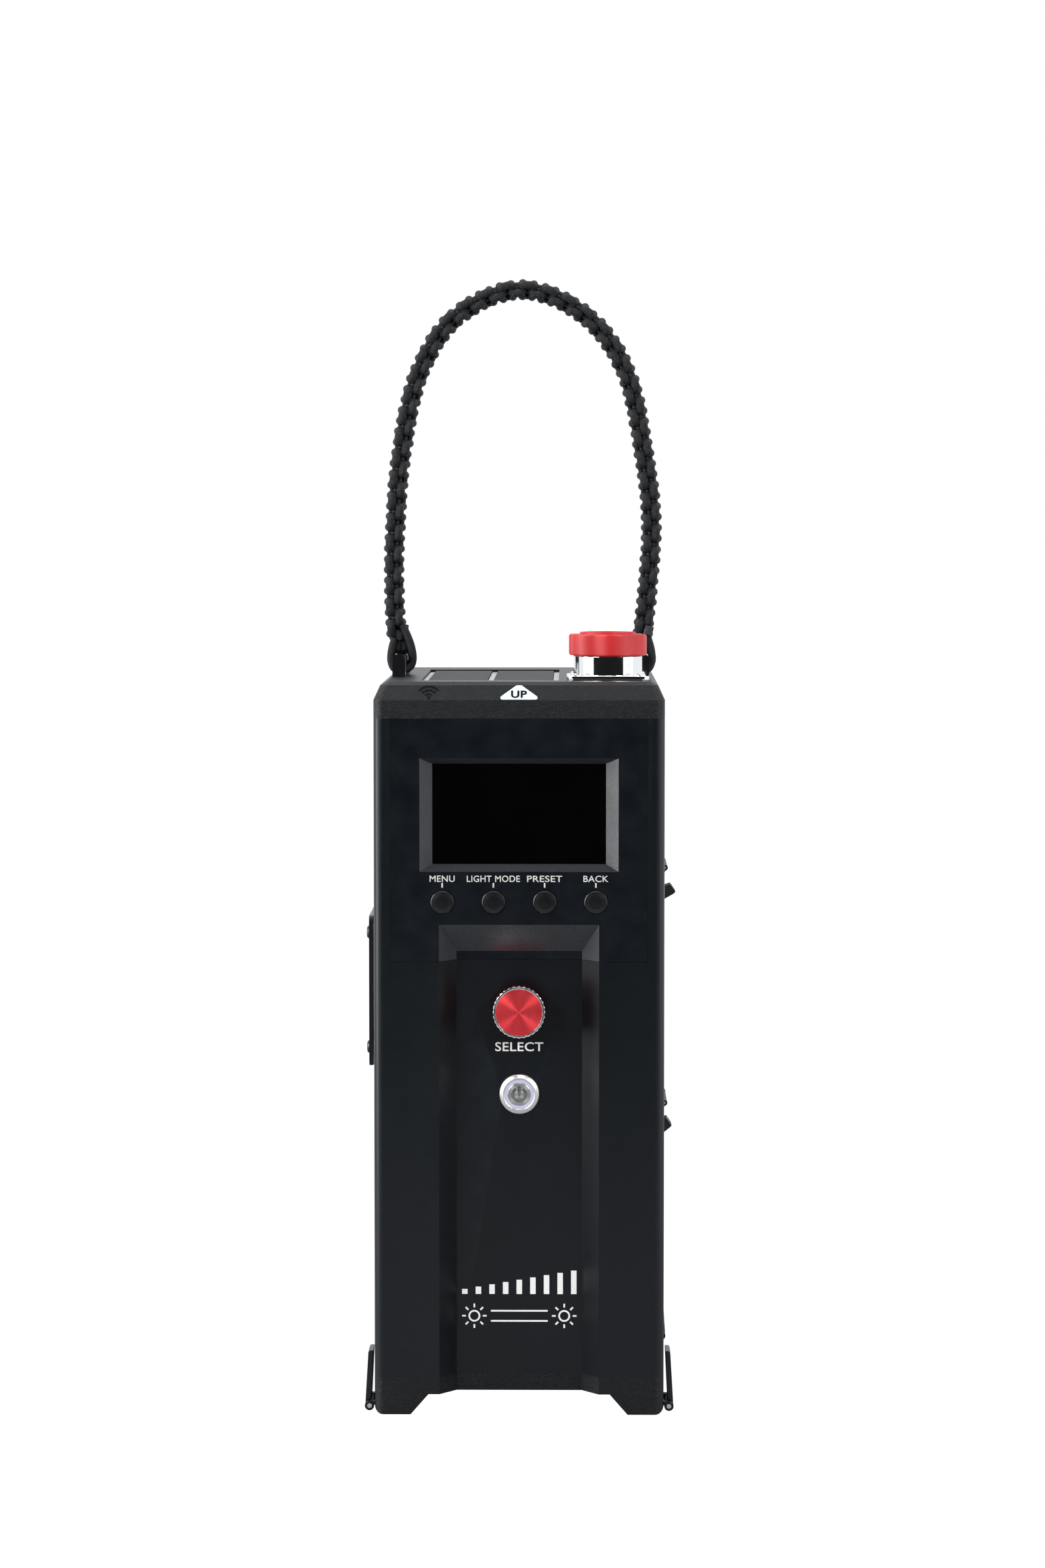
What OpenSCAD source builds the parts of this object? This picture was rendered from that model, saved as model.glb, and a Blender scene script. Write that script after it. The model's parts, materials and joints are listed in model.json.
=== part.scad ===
// Control box of a studio LED light: an upright metal case with a screen, buttons, a select knob and a
// power switch on its front, a capped output socket and a braided handle on top, and fold-out feet.
// Millimetres. The origin is on the ground under the middle of the case, +Z is up and -Y is the front.

/* [Case] */
// Width of the case
case_w = 136; // [130:1:142]
// Depth of the case
case_d = 200; // [190:2:210]
// Height of the flat top above the ground
case_h = 345; // [335:1:355]
// Height of the bottom cap
foot_h = 18; // [16:0.5:20]
// Height of the top cap
cap_h = 17; // [16:0.5:19]
// Wall of the metal shell
wall = 2.5; // [2:0.1:3]
// Radius of the upright edges
edge_r = 4.5; // [4:0.1:5]

/* [Front] */
// Half width of the front channel at the surface
chan_out = 37.4; // [36:0.1:39]
// Half width of the channel floor
chan_in = 29.5; // [28:0.1:31]
// Depth of the front channel
recess = 10; // [9:0.1:10.5]
// How far the screen lies behind the front face
glass_deep = 5.4; // [5:0.1:6]
// Height where the sloped top of the channel meets the surface
chan_top = 231.7; // [230:0.1:233]
// Half width of the front panel
panel_x = 60; // [58:0.1:61]
// Lower edge of the front panel
panel_z = 214.4; // [213:0.1:215]
// Height of the row of buttons
button_z = 242.2; // [241:0.1:243]
// Radius of a button
button_r = 5.4; // [5:0.1:5.6]
// Spacing of the buttons
button_gap = 23.9; // [22:0.1:25]
// Height of the knob
knob_z = 190.7; // [188:0.1:193]
// Radius of the knob over its flutes
knob_r = 12.3; // [11:0.1:13]
// Flutes round the knob
flutes = 32; // [24:2:36]
// Height of the power switch
power_z = 150.9; // [148:0.1:154]
// Radius of the power switch flange
power_r = 9.45; // [9:0.05:10]

/* [Top] */
// Distance of the output socket from the middle
socket_x = 41.6; // [40:0.1:42]
// Distance of the output socket in front of the middle
socket_y = 60; // [58:1:62]
// Outer radius of the socket barrel
barrel_r = 16.3; // [15:0.1:16.5]
// Outer radius of the cap on that barrel
cap_reach = 18.8; // [18:0.1:19.5]
// Distance of the handle lugs from the middle
lug_x = 58.7; // [58:0.1:58.8]
// Length of a lug
lug_l = 65; // [56:1:66]
// Height of a lug
lug_h = 10.3; // [10.2:0.1:11]
// Width of the braided strap
strap_w = 19; // [16:1:20]
// Thickness of the braided strap
strap_t = 9; // [8:0.5:9.5]
// Radius of the handle cord
cord_r = 1.9; // [1.7:0.05:1.9]

/* [Sides and feet] */
// Height of the middle of the side plate
plate_z = 192.5; // [190:0.5:195]
// Length of the fold-out feet
flap_h = 25.6; // [22:0.2:27]
// Length of a fold-out foot along the case
flap_l = 15; // [12:1:16]

/* [Hidden] */
$fn = 48;

hw = case_w / 2;                 // half width of the case
hd = case_d / 2;                 // half depth of the case
shell_top = case_h - cap_h;      // where the top cap sits on the shell
floor_y = -hd + recess;          // front of the channel floor
seam = 0.15;                     // gap round the inset panels
gap = 0.3;                       // clearance between bodies
run = 0.05;                      // radial clearance of a running fit
eps = 0.01;                      // overlap of a cutter past the face that it opens
far = 400;                       // longer than anything that it cuts

glass_x = 40.6;                  // half width of the visible screen
bezel_x = 46.4;                  // half width of the screen recess at the surface
glass_z = [259.7, 306.7];        // bottom and top of the visible screen
glass_y = -hd + glass_deep;      // front of the screen
bezel_z = [256.5, 309.5];        // bottom and top of the screen recess at the surface
chan_end = 218.4;                // where the channel's sloped top meets the floor

cap_knee = 8.6;                  // upright part of the top cap
cap_slope = [3.1, 6.8];          // run and rise of the steep slope
cap_bevel = [3, 1.6];            // run and rise of the shallow slope
tray = [-46.3, 18.4, -77, 62];   // left, right, front and back of the tray
tray_deep = 1.7;                 // depth of the tray

lug_half = 3.1;                  // half width of a lug
lug_bevel = 1.3;                 // bevel along its top edges
lug_window = 5.4;                // height of the window under its bar
lug_bar = (lug_h - lug_window) / 2;                  // half height of the bar over the window
loop_r = cord_r + norm([lug_half, lug_bar]) + 0.06;  // radius of the cord's ring round a lug
loop_z = case_h + lug_window + lug_bar;              // height of the middle of that ring
neck_z = loop_z + loop_r + cord_r + 1.2;             // axis the handle swings on
neck_r = 2.9;                    // radius of the barrel of cord on that axis
neck_half = 3.8;                 // half length of the barrel
strap_z = neck_z + neck_r + 0.3;                     // ends of the strap

port_y = [-32, 12];              // front and back of the side ports
port_span = 17.5;                // height of a port opening
port_tops = [251.5, 137.2];      // top of the upper and of the lower opening
cover_pin_r = 0.6;               // radius of a port cover's hinge pin
knuckle_r = 1.35;                // radius of a port cover's knuckle
knuckle_x = hw + knuckle_r + 0.25;
tab_y = -16;                     // middle of the finger tabs

foot_y = 84;                     // distance of the fold-out feet from the middle
foot_axis = [70.6, 3.4];         // X and Z of a fold-out foot's pin
foot_r = 2.2;                    // radius of a fold-out foot's knuckle
foot_pin_r = 1.1;                // radius of its pin
pad_h = 0.4;                     // how far the rubber feet stand out

fan_z = [250, 160];              // heights of the two fans
fan_y = [67, 92];                // front and back of the fans
fan_w = 80;                      // size of a fan
inlet_z = 75;                    // height of the mains inlet

function lerp(a, b, t) = a + (b - a) * t;

// ---- shared shapes ----

// Upright block with round edges, centred on the Z axis
module slab(w, d, h, r) {
  linear_extrude(h) union() {
    square([w - 2 * r, d], center = true);
    square([w, d - 2 * r], center = true);
    for (x = [-1, 1], y = [-1, 1]) translate([x * (w / 2 - r), y * (d / 2 - r)]) circle(r);
  }
}

// Block from one corner to the opposite one
module block(a, b) {
  translate(a) cube(b - a);
}

// Round bar along Y, from y0 to y1
module bar_y(r, y0, y1, x = 0, z = 0) {
  translate([x, y0, z]) rotate([-90, 0, 0]) cylinder(r = r, h = y1 - y0);
}

// Round bar along X, from x0 to x1
module bar_x(r, x0, x1, y = 0, z = 0) {
  translate([x0, y, z]) rotate([0, 90, 0]) cylinder(r = r, h = x1 - x0);
}

// Outline in X and Z, drawn out along Y from y0 to y1
module along_y(y0, y1) {
  translate([0, y1, 0]) rotate([90, 0, 0]) linear_extrude(y1 - y0) children();
}

// Outline in Y and Z, drawn out along X from x0 to x1
module along_x(x0, x1) {
  translate([x0, 0, 0]) rotate([90, 0, 90]) linear_extrude(x1 - x0) children();
}

// Recess in the front face with sloped walls: its outer and inner half widths and heights
module front_recess(x_out, x_in, z_out, z_in, grow = 0, deep = recess) {
  slope_x = (x_out - x_in) / deep;
  slope_low = (z_in[0] - z_out[0]) / deep;
  slope_top = (z_out[1] - z_in[1]) / deep;
  y0 = -hd - 1;
  y1 = -hd + deep + grow;
  intersection() {
    linear_extrude(far) polygon([
      [-x_out - grow - slope_x, y0], [-x_in - grow + slope_x * grow, y1],
      [x_in + grow - slope_x * grow, y1], [x_out + grow + slope_x, y0]]);
    along_x(-hw, hw) polygon([
      [y0, z_out[0] - grow - slope_low], [y1, z_in[0] - grow + slope_low * grow],
      [y1, z_in[1] + grow - slope_top * grow], [y0, z_out[1] + grow + slope_top]]);
  }
}

// The front channel, from the ground to its sloped top
module channel(grow = 0) {
  front_recess(chan_out, chan_in, [-20, chan_top], [-20, chan_end], grow);
}

// A ring of n places at radius r round the Z axis
module ring_of(n, r, start = 0) {
  for (i = [0:n - 1]) rotate([0, 0, start + i * 360 / n]) translate([r, 0, 0]) children();
}

module dome_screw(r, head_h, shank_r, l) {
  rotate_extrude() polygon([[0, -l], [shank_r, -l], [shank_r, 0], [r, 0], [r, head_h * 0.4],
    [r * 0.75, head_h * 0.85], [r * 0.45, head_h], [0, head_h]]);
}

// ---- case ----

module port_openings() {
  for (top = port_tops) block([hw - wall - 1, port_y[0], top - port_span], [hw + 1, port_y[1], top]);
}

module rear_opening(inset) {
  block([-60 + inset, hd - 8, 30 + inset], [60 - inset, hd + 1, shell_top - 10 - inset]);
}

module body_shell() {
  color("#16181b") difference() {
    union() {
      difference() {
        translate([0, 0, foot_h]) slab(case_w, case_d, shell_top - foot_h, edge_r);
        difference() {
          translate([0, 0, foot_h - 1])
            slab(case_w - 2 * wall, case_d - 2 * wall, shell_top - foot_h + 2, edge_r - wall);
          channel(wall);
          rear_ledge();
        }
        channel();
      }
      for (top = port_tops, y = [port_y[0] + 2, port_y[1] - 2]) cover_ear(top, y);
    }
    // opening for the front panel
    block([-panel_x - seam, -hd - 1, panel_z - seam], [panel_x + seam, -hd + wall + eps, shell_top + 1]);
    block([-chan_out - 4, -hd - 1, panel_z - seam], [chan_out + 4, floor_y + wall + 1, chan_top + 6]);
    // pocket and opening for the rear panel
    difference() {
      rear_opening(0);
      block([-hw, hd - 9, 0], [hw, hd - 2, far]);
    }
    rear_opening(5);
    rear_holes(1.25);
    port_openings();
    // encoder bush and power switch
    bar_y(3.8, floor_y - 1, floor_y + wall + 1, 0, knob_z);
    bar_y(8.1, floor_y - 1, floor_y + wall + 1, 0, power_z);
    plate_holes(1.6, -hw - 1, -hw + wall + 1);
    cover_pin_line(cover_pin_r);
  }
}

// Ledge inside the back wall, which the rear panel is screwed to
module rear_ledge() {
  difference() {
    block([-hw, hd - 5, 20], [hw, hd, shell_top - 1]);
    rear_opening(5);
  }
}

module cover_ear(top, y) {
  bar_y(knuckle_r + 0.1, y - 1.5, y + 1.5, knuckle_x, top + 1.2);
  block([hw - 1, y - 1.5, top + 0.4], [knuckle_x, y + 1.5, top + 2.5]);
}

module cover_pin_line(r) {
  for (top = port_tops) bar_y(r, port_y[0], port_y[1], knuckle_x, top + 1.2);
}

module rear_holes(r) {
  for (x = [-57, 57], z = [33.5, 104, 174, 244, shell_top - 13.5]) bar_y(r, hd - 4.5, hd + 1, x, z);
}

module top_cap() {
  knee = shell_top + cap_knee;
  module shape(grow) {
    hull() {
      translate([0, 0, shell_top - 1])
        slab(case_w + 2 * grow, case_d + 2 * grow, cap_knee + 1 + grow, edge_r + grow / 2, $fn = 32);
      translate([0, 0, knee + cap_slope[1]])
        slab(case_w - 2 * cap_slope[0] + 2 * grow, case_d - 2 * cap_slope[0] + 2 * grow, 0.01, 4, $fn = 32);
      translate([0, 0, case_h - 0.01 + grow])
        slab(case_w - 2 * (cap_slope[0] + cap_bevel[0]) + 2 * grow,
          case_d - 2 * (cap_slope[0] + cap_bevel[0]) + 2 * grow, 0.01, 3, $fn = 32);
    }
  }
  color("#1d1e20") difference() {
    shape(0);
    block([-hw - 5, -hd - 5, 0], [hw + 5, hd + 5, shell_top]);
    difference() {
      shape(-3.6);
      for (x = [-1, 1], y = [-1, 1])
        translate([x * lug_x, y * (lug_l / 2 - 5), shell_top]) cylinder(r = 4.5, h = cap_h);
    }
    block([tray[0], tray[2], case_h - tray_deep], [tray[1], tray[3], case_h + 1]);
    translate([socket_x, -socket_y, shell_top - 1]) cylinder(r = 15.2, h = cap_h + 2);
    translate([socket_x, -socket_y, shell_top - 1]) ring_of(4, 21.5, 45) cylinder(r = 1.25, h = cap_h + 2);
    for (x = [-1, 1], y = [-1, 1])
      translate([x * lug_x, y * (lug_l / 2 - 5), shell_top - 1]) cylinder(r = 2.05, h = cap_h + 2);
  }
}

module bottom_cap() {
  color("#1d1e20") difference() {
    union() {
      intersection() {
        slab(case_w, case_d, foot_h, edge_r);
        along_y(-hd, hd) difference() {
          union() {
            polygon([[-hw, foot_h], [-hw, 4], [-hw + 4, pad_h], [-51, pad_h], [-42.6, 10], [42.6, 10],
              [51, pad_h], [hw - 4, pad_h], [hw, 4], [hw, foot_h]]);
            for (x = [-1, 1]) translate([x * (hw - 4), 4 + pad_h]) circle(4);
          }
          translate([-hw, -1]) square([case_w, 1 + pad_h]);
        }
      }
      for (x = [-1, 1], y = [-1, 1], s = [-1, 1]) foot_ear(x, y, s);
    }
    // gap between the front and the rear feet
    along_x(-far, far) polygon([[-62, -1], [-62, pad_h], [-54, 10], [54, 10], [62, pad_h], [62, -1]]);
    difference() {
      translate([0, 0, 12.5]) slab(case_w - 6, case_d - 6, foot_h, edge_r - 3);
      channel(3);
      for (x = [-1, 1], y = [-1, 1]) translate([x * 58, y * 90, 12]) cylinder(r = 4, h = 6);
    }
    translate([0, 0, -1]) channel();
    for (x = [-1, 1], y = [-1, 1]) translate([x * 57, y * 81, pad_h - 1]) slab(9.4, 30.4, 1 + 1.6, 3);
    for (x = [-1, 1], y = [-1, 1]) translate([x * 58, y * 90, 11]) cylinder(r = 1.6, h = 8);
    for (x = [-1, 1], y = [-1, 1]) foot_pin(x, y, foot_pin_r, flap_l / 2 + 5);
  }
}

// Ear beside a fold-out foot: x and y pick the corner, s the side of the foot
module foot_ear(x, y, s) {
  near = flap_l / 2 + gap;
  y0 = y * foot_y + (s > 0 ? near : -near - 3.2);
  bar_y(foot_r, y0, y0 + 3.2, x * foot_axis[0], foot_axis[1]);
  mirror([x > 0 ? 0 : 1, 0, 0])
    block([hw - 2, y0, foot_axis[1] + 0.4], [foot_axis[0], y0 + 3.2, foot_axis[1] + foot_r]);
}

module foot_pin(x, y, r, half) {
  bar_y(r, y * foot_y - half, y * foot_y + half, x * foot_axis[0], foot_axis[1]);
}

module front_panel() {
  color("#1a1c20") difference() {
    union() {
      block([-panel_x, -hd, panel_z], [panel_x, -hd + wall, shell_top - 0.1]);
      block([-panel_x - 3, -hd + wall + 0.02, panel_z - 3],
        [panel_x + 3, -hd + wall + 2, shell_top - 2]);
      intersection() {
        channel(wall);
        block([-far, -far, panel_z], [far, far, far]);
      }
      front_recess(bezel_x, glass_x, bezel_z, glass_z, 2, glass_deep);
    }
    block([-hw, -hd - 5, panel_z - 10], [hw, -hd, shell_top]);
    // room for the shell's own channel wall
    intersection() {
      channel(wall + 0.1);
      block([-far, -far, 0], [far, far, panel_z - 0.01]);
    }
    channel();
    front_recess(bezel_x, glass_x, bezel_z, glass_z, 0, glass_deep);
    block([-glass_x - 1.5, glass_y, glass_z[0] - 1.5], [glass_x + 1.5, glass_y + 5, glass_z[1] + 1.5]);
    for (i = [0:3]) bar_y(button_r + gap, -hd - 1, -hd + 8, button_x(i), button_z);
  }
}

function button_x(i) = (i - 1.5) * button_gap;

module rear_panel() {
  slots = 9;
  color("#1a1c20") difference() {
    block([-60 + seam, hd - 2, 30 + seam], [60 - seam, hd, shell_top - 10 - seam]);
    rear_holes(1.6);
    for (z = fan_z, i = [0:slots - 1]) {
      h = 3.6;
      rise = (i - (slots - 1) / 2) * 8;
      half = sqrt(38 * 38 - rise * rise) - h / 2;
      for (x = [-half, half]) bar_y(h / 2, hd - 3, hd + 1, x, z + rise);
      block([-half, hd - 3, z + rise - h / 2], [half, hd + 1, z + rise + h / 2]);
    }
    bar_y(13, hd - 3, hd + 1, 0, inlet_z);
    for (x = [-1, 1]) bar_y(1.6, hd - 3, hd + 1, x * 13, inlet_z + x * 15);
  }
}

module rear_screws() {
  color("#2b2b2d") {
    for (x = [-57, 57], z = [33.5, 104, 174, 244, shell_top - 13.5])
      translate([x, hd, z]) rotate([-90, 0, 0]) dome_screw(2.9, 1.5, 1.2, 4);
    for (x = [-1, 1]) translate([x * 13, hd + 2, inlet_z + x * 15])
      rotate([-90, 0, 0]) dome_screw(2.9, 1.5, 1.5, 6);
  }
}

// ---- screen and buttons ----

module screen_glass() {
  color("#07080a") block([-glass_x - 1.3, glass_y + 0.02, glass_z[0] - 1.3],
    [glass_x + 1.3, glass_y + 1.6, glass_z[1] + 1.3]);
}

module display_module() {
  color("#8a8d90") difference() {
    block([-44, glass_y + 2, 255], [44, glass_y + 7, 311]);
    block([-38, glass_y + 6, 262], [38, glass_y + 8, 304]);
  }
}

module push_button(i) {
  color("#1b1b1d") translate([button_x(i), 0, button_z]) rotate([-90, 0, 0]) rotate_extrude() polygon([
    [0, -hd - 1.35], [button_r * 0.6, -hd - 1.2], [button_r - 0.4, -hd - 0.85], [button_r, -hd - 0.45],
    [button_r, -hd + wall + 2.4], [button_r + 1.2, -hd + wall + 2.4], [button_r + 1.2, -hd + wall + 3.2],
    [1.6, -hd + wall + 3.2], [1.6, -hd + wall + 4.6], [0, -hd + wall + 4.6]]);
}

module button_menu() { push_button(0); }
module button_mode() { push_button(1); }
module button_preset() { push_button(2); }
module button_back() { push_button(3); }

module button_board() {
  y = -hd + wall + 9.2;
  color("#1f5a33") block([-46, y, 236.5], [46, y + 1.6, 251]);
  color("#c9c9c4") for (i = [0:3])
    block([button_x(i) - 3, y - 3.2, button_z - 3], [button_x(i) + 3, y, button_z + 3]);
}

// ---- knob ----

module encoder_body() {
  back = floor_y + wall;
  color("#9da0a3") translate([0, 0, knob_z]) difference() {
    union() {
      block([-6.5, back, -6.5], [6.5, back + 9, 6.5]);
      bar_y(3.6, floor_y - 2.2, back + 0.1);
    }
    bar_y(3 + run, floor_y - 3, back + 3);
    bar_y(5.2, back + 2, back + 7.5);
  }
}

module encoder_nut() {
  color("#c4c6c8") translate([0, floor_y - 1.9, knob_z]) rotate([-90, 0, 0]) difference() {
    cylinder(r = 5.8, h = 1.9, $fn = 6);
    translate([0, 0, -1]) cylinder(r = 3.62, h = 4);
  }
}

module encoder_plunger() {
  color("#d8d8d2") translate([0, floor_y + wall + 4.6, knob_z]) rotate([-90, 0, 0]) difference() {
    cylinder(r = 4.9, h = 1.8);
    translate([0, 0, -1]) cylinder(r = 1.5 + run, h = 4);
  }
}

module encoder_shaft() {
  color("#b9bcbf") translate([0, 0, knob_z]) union() {
    bar_y(3, floor_y - 9, floor_y + wall + 4.3);
    bar_y(1.5, floor_y + wall + 4.2, floor_y + wall + 6);
  }
}

module knob_rim() {
  y_back = floor_y - 1;
  y_front = -hd - 2;
  color("#e6e7e9") translate([0, 0, knob_z]) difference() {
    union() {
      bar_y(knob_r - 0.35, y_front, y_back);
      rotate([-90, 0, 0]) ring_of(flutes, knob_r - 0.75)
        translate([0, 0, y_front + 0.9]) cylinder(r = 0.75, h = y_back - y_front - 1.4);
    }
    bar_y(10.95, y_front - 1, y_front + 1.5);
    bar_y(9, floor_y - 3.2, y_back + 1);
    bar_y(3, y_front, y_back + 1);
  }
}

module knob_face() {
  y = -hd - 2.1;
  color("#d21f2b") translate([0, y, knob_z]) rotate([-90, 0, 0]) rotate_extrude() polygon([
    [0, -0.15], [4, -0.12], [8, -0.02], [10.6, 0.12], [10.93, 0.45], [10.93, 1.6], [0, 1.6]]);
}

// ---- power switch ----

module switch_housing() {
  color("#dcdde0") translate([0, 0, power_z]) rotate([-90, 0, 0]) rotate_extrude() polygon([
    [6.98, floor_y - 1.9], [7.6, floor_y - 2.2], [7.95, floor_y - 1.95], [power_r - 0.5, floor_y - 1.5],
    [power_r, floor_y - 1.1], [power_r, floor_y - 0.02], [7.9, floor_y - 0.02], [7.9, floor_y + 18],
    [6, floor_y + 18], [6, floor_y - 0.4], [6.98, floor_y - 0.4]]);
}

module switch_ring() {
  color("#bcd8f0") translate([0, 0, power_z]) rotate([-90, 0, 0]) rotate_extrude() polygon([
    [5.5, floor_y - 1.8], [6.95, floor_y - 1.8], [6.95, floor_y - 0.42], [5.5, floor_y - 0.42]]);
}

module power_button() {
  color("#c9cacb") translate([0, 0, power_z]) rotate([-90, 0, 0]) rotate_extrude() polygon([
    [0, floor_y - 2.05], [5.2, floor_y - 2], [5.5 - run, floor_y - 1.8], [5.5 - run, floor_y + 2],
    [3, floor_y + 2], [3, floor_y + 14], [0, floor_y + 14]]);
}

module switch_nut() {
  color("#c4c6c8") translate([0, floor_y + wall + 0.02, power_z]) rotate([-90, 0, 0]) difference() {
    cylinder(r = 11.5, h = 3, $fn = 6);
    translate([0, 0, -1]) cylinder(r = 7.92, h = 5);
  }
}

// ---- top ----

// Places its children on the front slope of the top cap: x across, z up the slope from its middle
module on_slope(x) {
  lean = atan2(cap_slope[0], cap_slope[1]);
  translate([x, -hd + cap_slope[0] / 2, shell_top + cap_knee + cap_slope[1] / 2]) rotate([-lean, 0, 0])
    children();
}

module arrow_badge() {
  color("#dfe9f5") on_slope(0) along_y(-0.35, -0.03) hull() {
    for (x = [-7.7, 7.7]) translate([x, -2.6]) circle(0.95, $fn = 24);
    for (x = [-0.9, 0.9]) translate([x, 2.7]) circle(0.9, $fn = 24);
  }
}

module handle_lugs() {
  half = lug_half;
  bevel = lug_bevel;
  window = lug_window;
  color("#101012") for (side = [-1, 1]) translate([side * lug_x, 0, case_h]) difference() {
    along_y(-lug_l / 2, lug_l / 2) polygon([[-half, 0.02], [-half, lug_h - bevel],
      [-half + bevel, lug_h], [half - bevel, lug_h], [half, lug_h - bevel], [half, 0.02]]);
    along_x(-10, 10) polygon([[-lug_l / 2 + 9, -1], [-lug_l / 2 + 9, window - 2],
      [-lug_l / 2 + 11, window], [lug_l / 2 - 11, window], [lug_l / 2 - 9, window - 2],
      [lug_l / 2 - 9, -1]]);
    for (y = [-1, 1]) {
      translate([-5, y * lug_l / 2, lug_h]) rotate([45, 0, 0]) cube([10, 2, 2], center = false);
      translate([0, y * (lug_l / 2 - 5), -1]) cylinder(r = 1.6, h = 8);
    }
  }
}

module lug_screws() {
  color("#8f9194") for (x = [-1, 1], y = [-1, 1])
    translate([x * lug_x, y * (lug_l / 2 - 5), shell_top - 0.02]) mirror([0, 0, 1]) union() {
      cylinder(r = 3.4, h = 2);
      mirror([0, 0, 1]) cylinder(r = 1.58, h = cap_h + 6);
    }
}

module handle_loops() {
  color("#17171a") for (x = [-1, 1]) translate([x * lug_x, 0, 0]) union() {
    for (y = [-1, 1]) translate([0, y * (cord_r + 0.1), loop_z]) rotate([90, 0, 0])
      rotate_extrude() translate([loop_r, 0]) circle(cord_r);
    translate([-neck_half, 0, neck_z]) rotate([0, 90, 0]) cylinder(r = neck_r, h = 2 * neck_half);
  }
}

// The strap's middle line in X and Z: points down the left side and back up the right
arch = [[-60.8, strap_z], [-62, 382], [-61.8, 412], [-58.5, 453], [-49.7, 492], [-31, 519.5], [0, 532],
  [31, 519.5], [50.9, 492], [59.6, 453], [63.3, 420], [61.6, 388], [58.6, strap_z]];

// A point of a smooth curve through the list p, where whole numbers are the points themselves
function curve(p, t) =
  let (i = min(floor(t), len(p) - 2), u = t - i, a = p[max(i - 1, 0)], b = p[i], c = p[i + 1],
    d = p[min(i + 2, len(p) - 1)])
  0.5 * (2 * b + (c - a) * u + (2 * a - 5 * b + 4 * c - d) * u * u + (3 * b - a - 3 * c + d) * u * u * u);

// Width of the strap at a distance from its ends, as a share: it narrows to the two cords of its neck
function strap_share(z) = lerp(0.42, 1, min(1, (z - strap_z) / 12));

// The strap is swept as rings of points round the middle line, level at both ends
module handle_strap() {
  steps = 3;
  sides = 16;
  last = (len(arch) - 1) * steps;
  function heading(i) = i == 0 ? [0, 1] : i == last ? [0, -1] :
    let (d = curve(arch, (i + 0.5) / steps) - curve(arch, (i - 0.5) / steps)) d / norm(d);
  function ring(i) =
    let (at = curve(arch, i / steps), way = heading(i), half = strap_w / 2 * strap_share(at[1]))
    [for (k = [0:sides - 1])
      let (turn = k * 360 / sides, out = strap_t / 2 * cos(turn),
        across = (half - strap_t * 0.35) * sign(round(10 * sin(turn))) + strap_t * 0.35 * sin(turn))
      [at[0] - way[1] * out, across, at[1] + way[0] * out]];
  points = [for (i = [0:last]) each ring(i)];
  walls = [for (i = [0:last - 1], k = [0:sides - 1])
    let (a = i * sides, b = a + sides, n = (k + 1) % sides) [a + k, b + k, b + n, a + n]];
  ends = [[for (k = [0:sides - 1]) k], [for (k = [sides - 1:-1:0]) last * sides + k]];
  color("#17171a") polyhedron(points, concat(walls, ends));
}

module tray_pads() {
  w = 28;
  mid = (tray[0] + tray[1]) / 2;
  color("#26272a") for (s = [-1, 1])
    translate([mid + s * (w + 3) / 2, (tray[2] + tray[3]) / 2, case_h - tray_deep + 0.01])
      slab(w, tray[3] - tray[2] - 6, 1.2, 1.5);
}

module output_socket() {
  color("#e2e3e6") translate([socket_x, -socket_y, case_h + 0.02]) difference() {
    union() {
      slab(38.9, 38.9, 2, 4);
      cylinder(r = barrel_r, h = 11);
      translate([0, 0, -18]) cylinder(r = 15, h = 19);
    }
    translate([0, 0, -19]) cylinder(r = 13.5, h = 40);
    ring_of(4, 21.5, 45) translate([0, 0, -1]) cylinder(r = 1.6, h = 5);
  }
}

module socket_screws() {
  color("#d5d6d9") translate([socket_x, -socket_y, case_h + 2.04])
    ring_of(4, 21.5, 45) dome_screw(2.6, 1.1, 1.2, 7);
}

module socket_insert() {
  color("#202124") translate([socket_x, -socket_y, case_h - 14]) difference() {
    cylinder(r = 13.45, h = 18);
    ring_of(6, 8) translate([0, 0, -1]) cylinder(r = 1.6, h = 20);
    translate([0, 0, -1]) cylinder(r = 2.6, h = 20);
  }
}

module socket_contacts() {
  color("#d9b45a") translate([socket_x, -socket_y, case_h - 17]) {
    ring_of(6, 8) cylinder(r = 1.58, h = 19);
    cylinder(r = 2.58, h = 19);
  }
}

module socket_cap() {
  lobes = 6;
  first = 40;
  valley = 1.5;
  steps = 120;
  module lobed(grow, h) {
    linear_extrude(h) polygon([for (i = [0:steps - 1])
      let (turn = i * 360 / steps, dip = (1 - cos(lobes * (turn - first))) / 2,
        r = cap_reach + grow - valley * dip * dip)
      [r * cos(turn), r * sin(turn)]]);
  }
  color("#e23a3a") translate([socket_x, -socket_y, case_h + 11 + gap]) difference() {
    union() {
      lobed(-0.5, 10);
      translate([0, 0, 0.6]) lobed(0, 8.8);
      cylinder(r = 13.2, h = 11);
      translate([0, 0, -5]) cylinder(r = 12.9, h = 6);
    }
    translate([0, 0, 9.2]) cylinder(r = 11.8, h = 5);
    translate([0, 0, -6]) cylinder(r = 10.4, h = 6);
  }
}

// ---- sides ----

// The four fixing screws of the side plate
module plate_holes(r, x0, x1) {
  for (y = [-22, 22], z = [-28, 28]) bar_x(r, x0, x1, y, plate_z + z);
}

module mount_plate() {
  color("#202124") difference() {
    translate([-hw - 5.5, 0, plate_z]) rotate([0, 90, 0]) slab(73, 60, 2, 3);
    plate_holes(1.7, -hw - 6, -hw - 3);
    for (y = [-12.5, 12.5], z = [-20, 20]) bar_x(2.1, -hw - 6, -hw - 3, y, plate_z + z);
    translate([-hw - 7, 0, plate_z]) rotate([0, 90, 0]) slab(24, 10, 5, 3);
  }
}

module plate_spacers() {
  color("#77797c") difference() {
    plate_holes(4, -hw - 3.48, -hw - 0.02);
    plate_holes(1.7, -hw - 4, -hw);
  }
}

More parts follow.
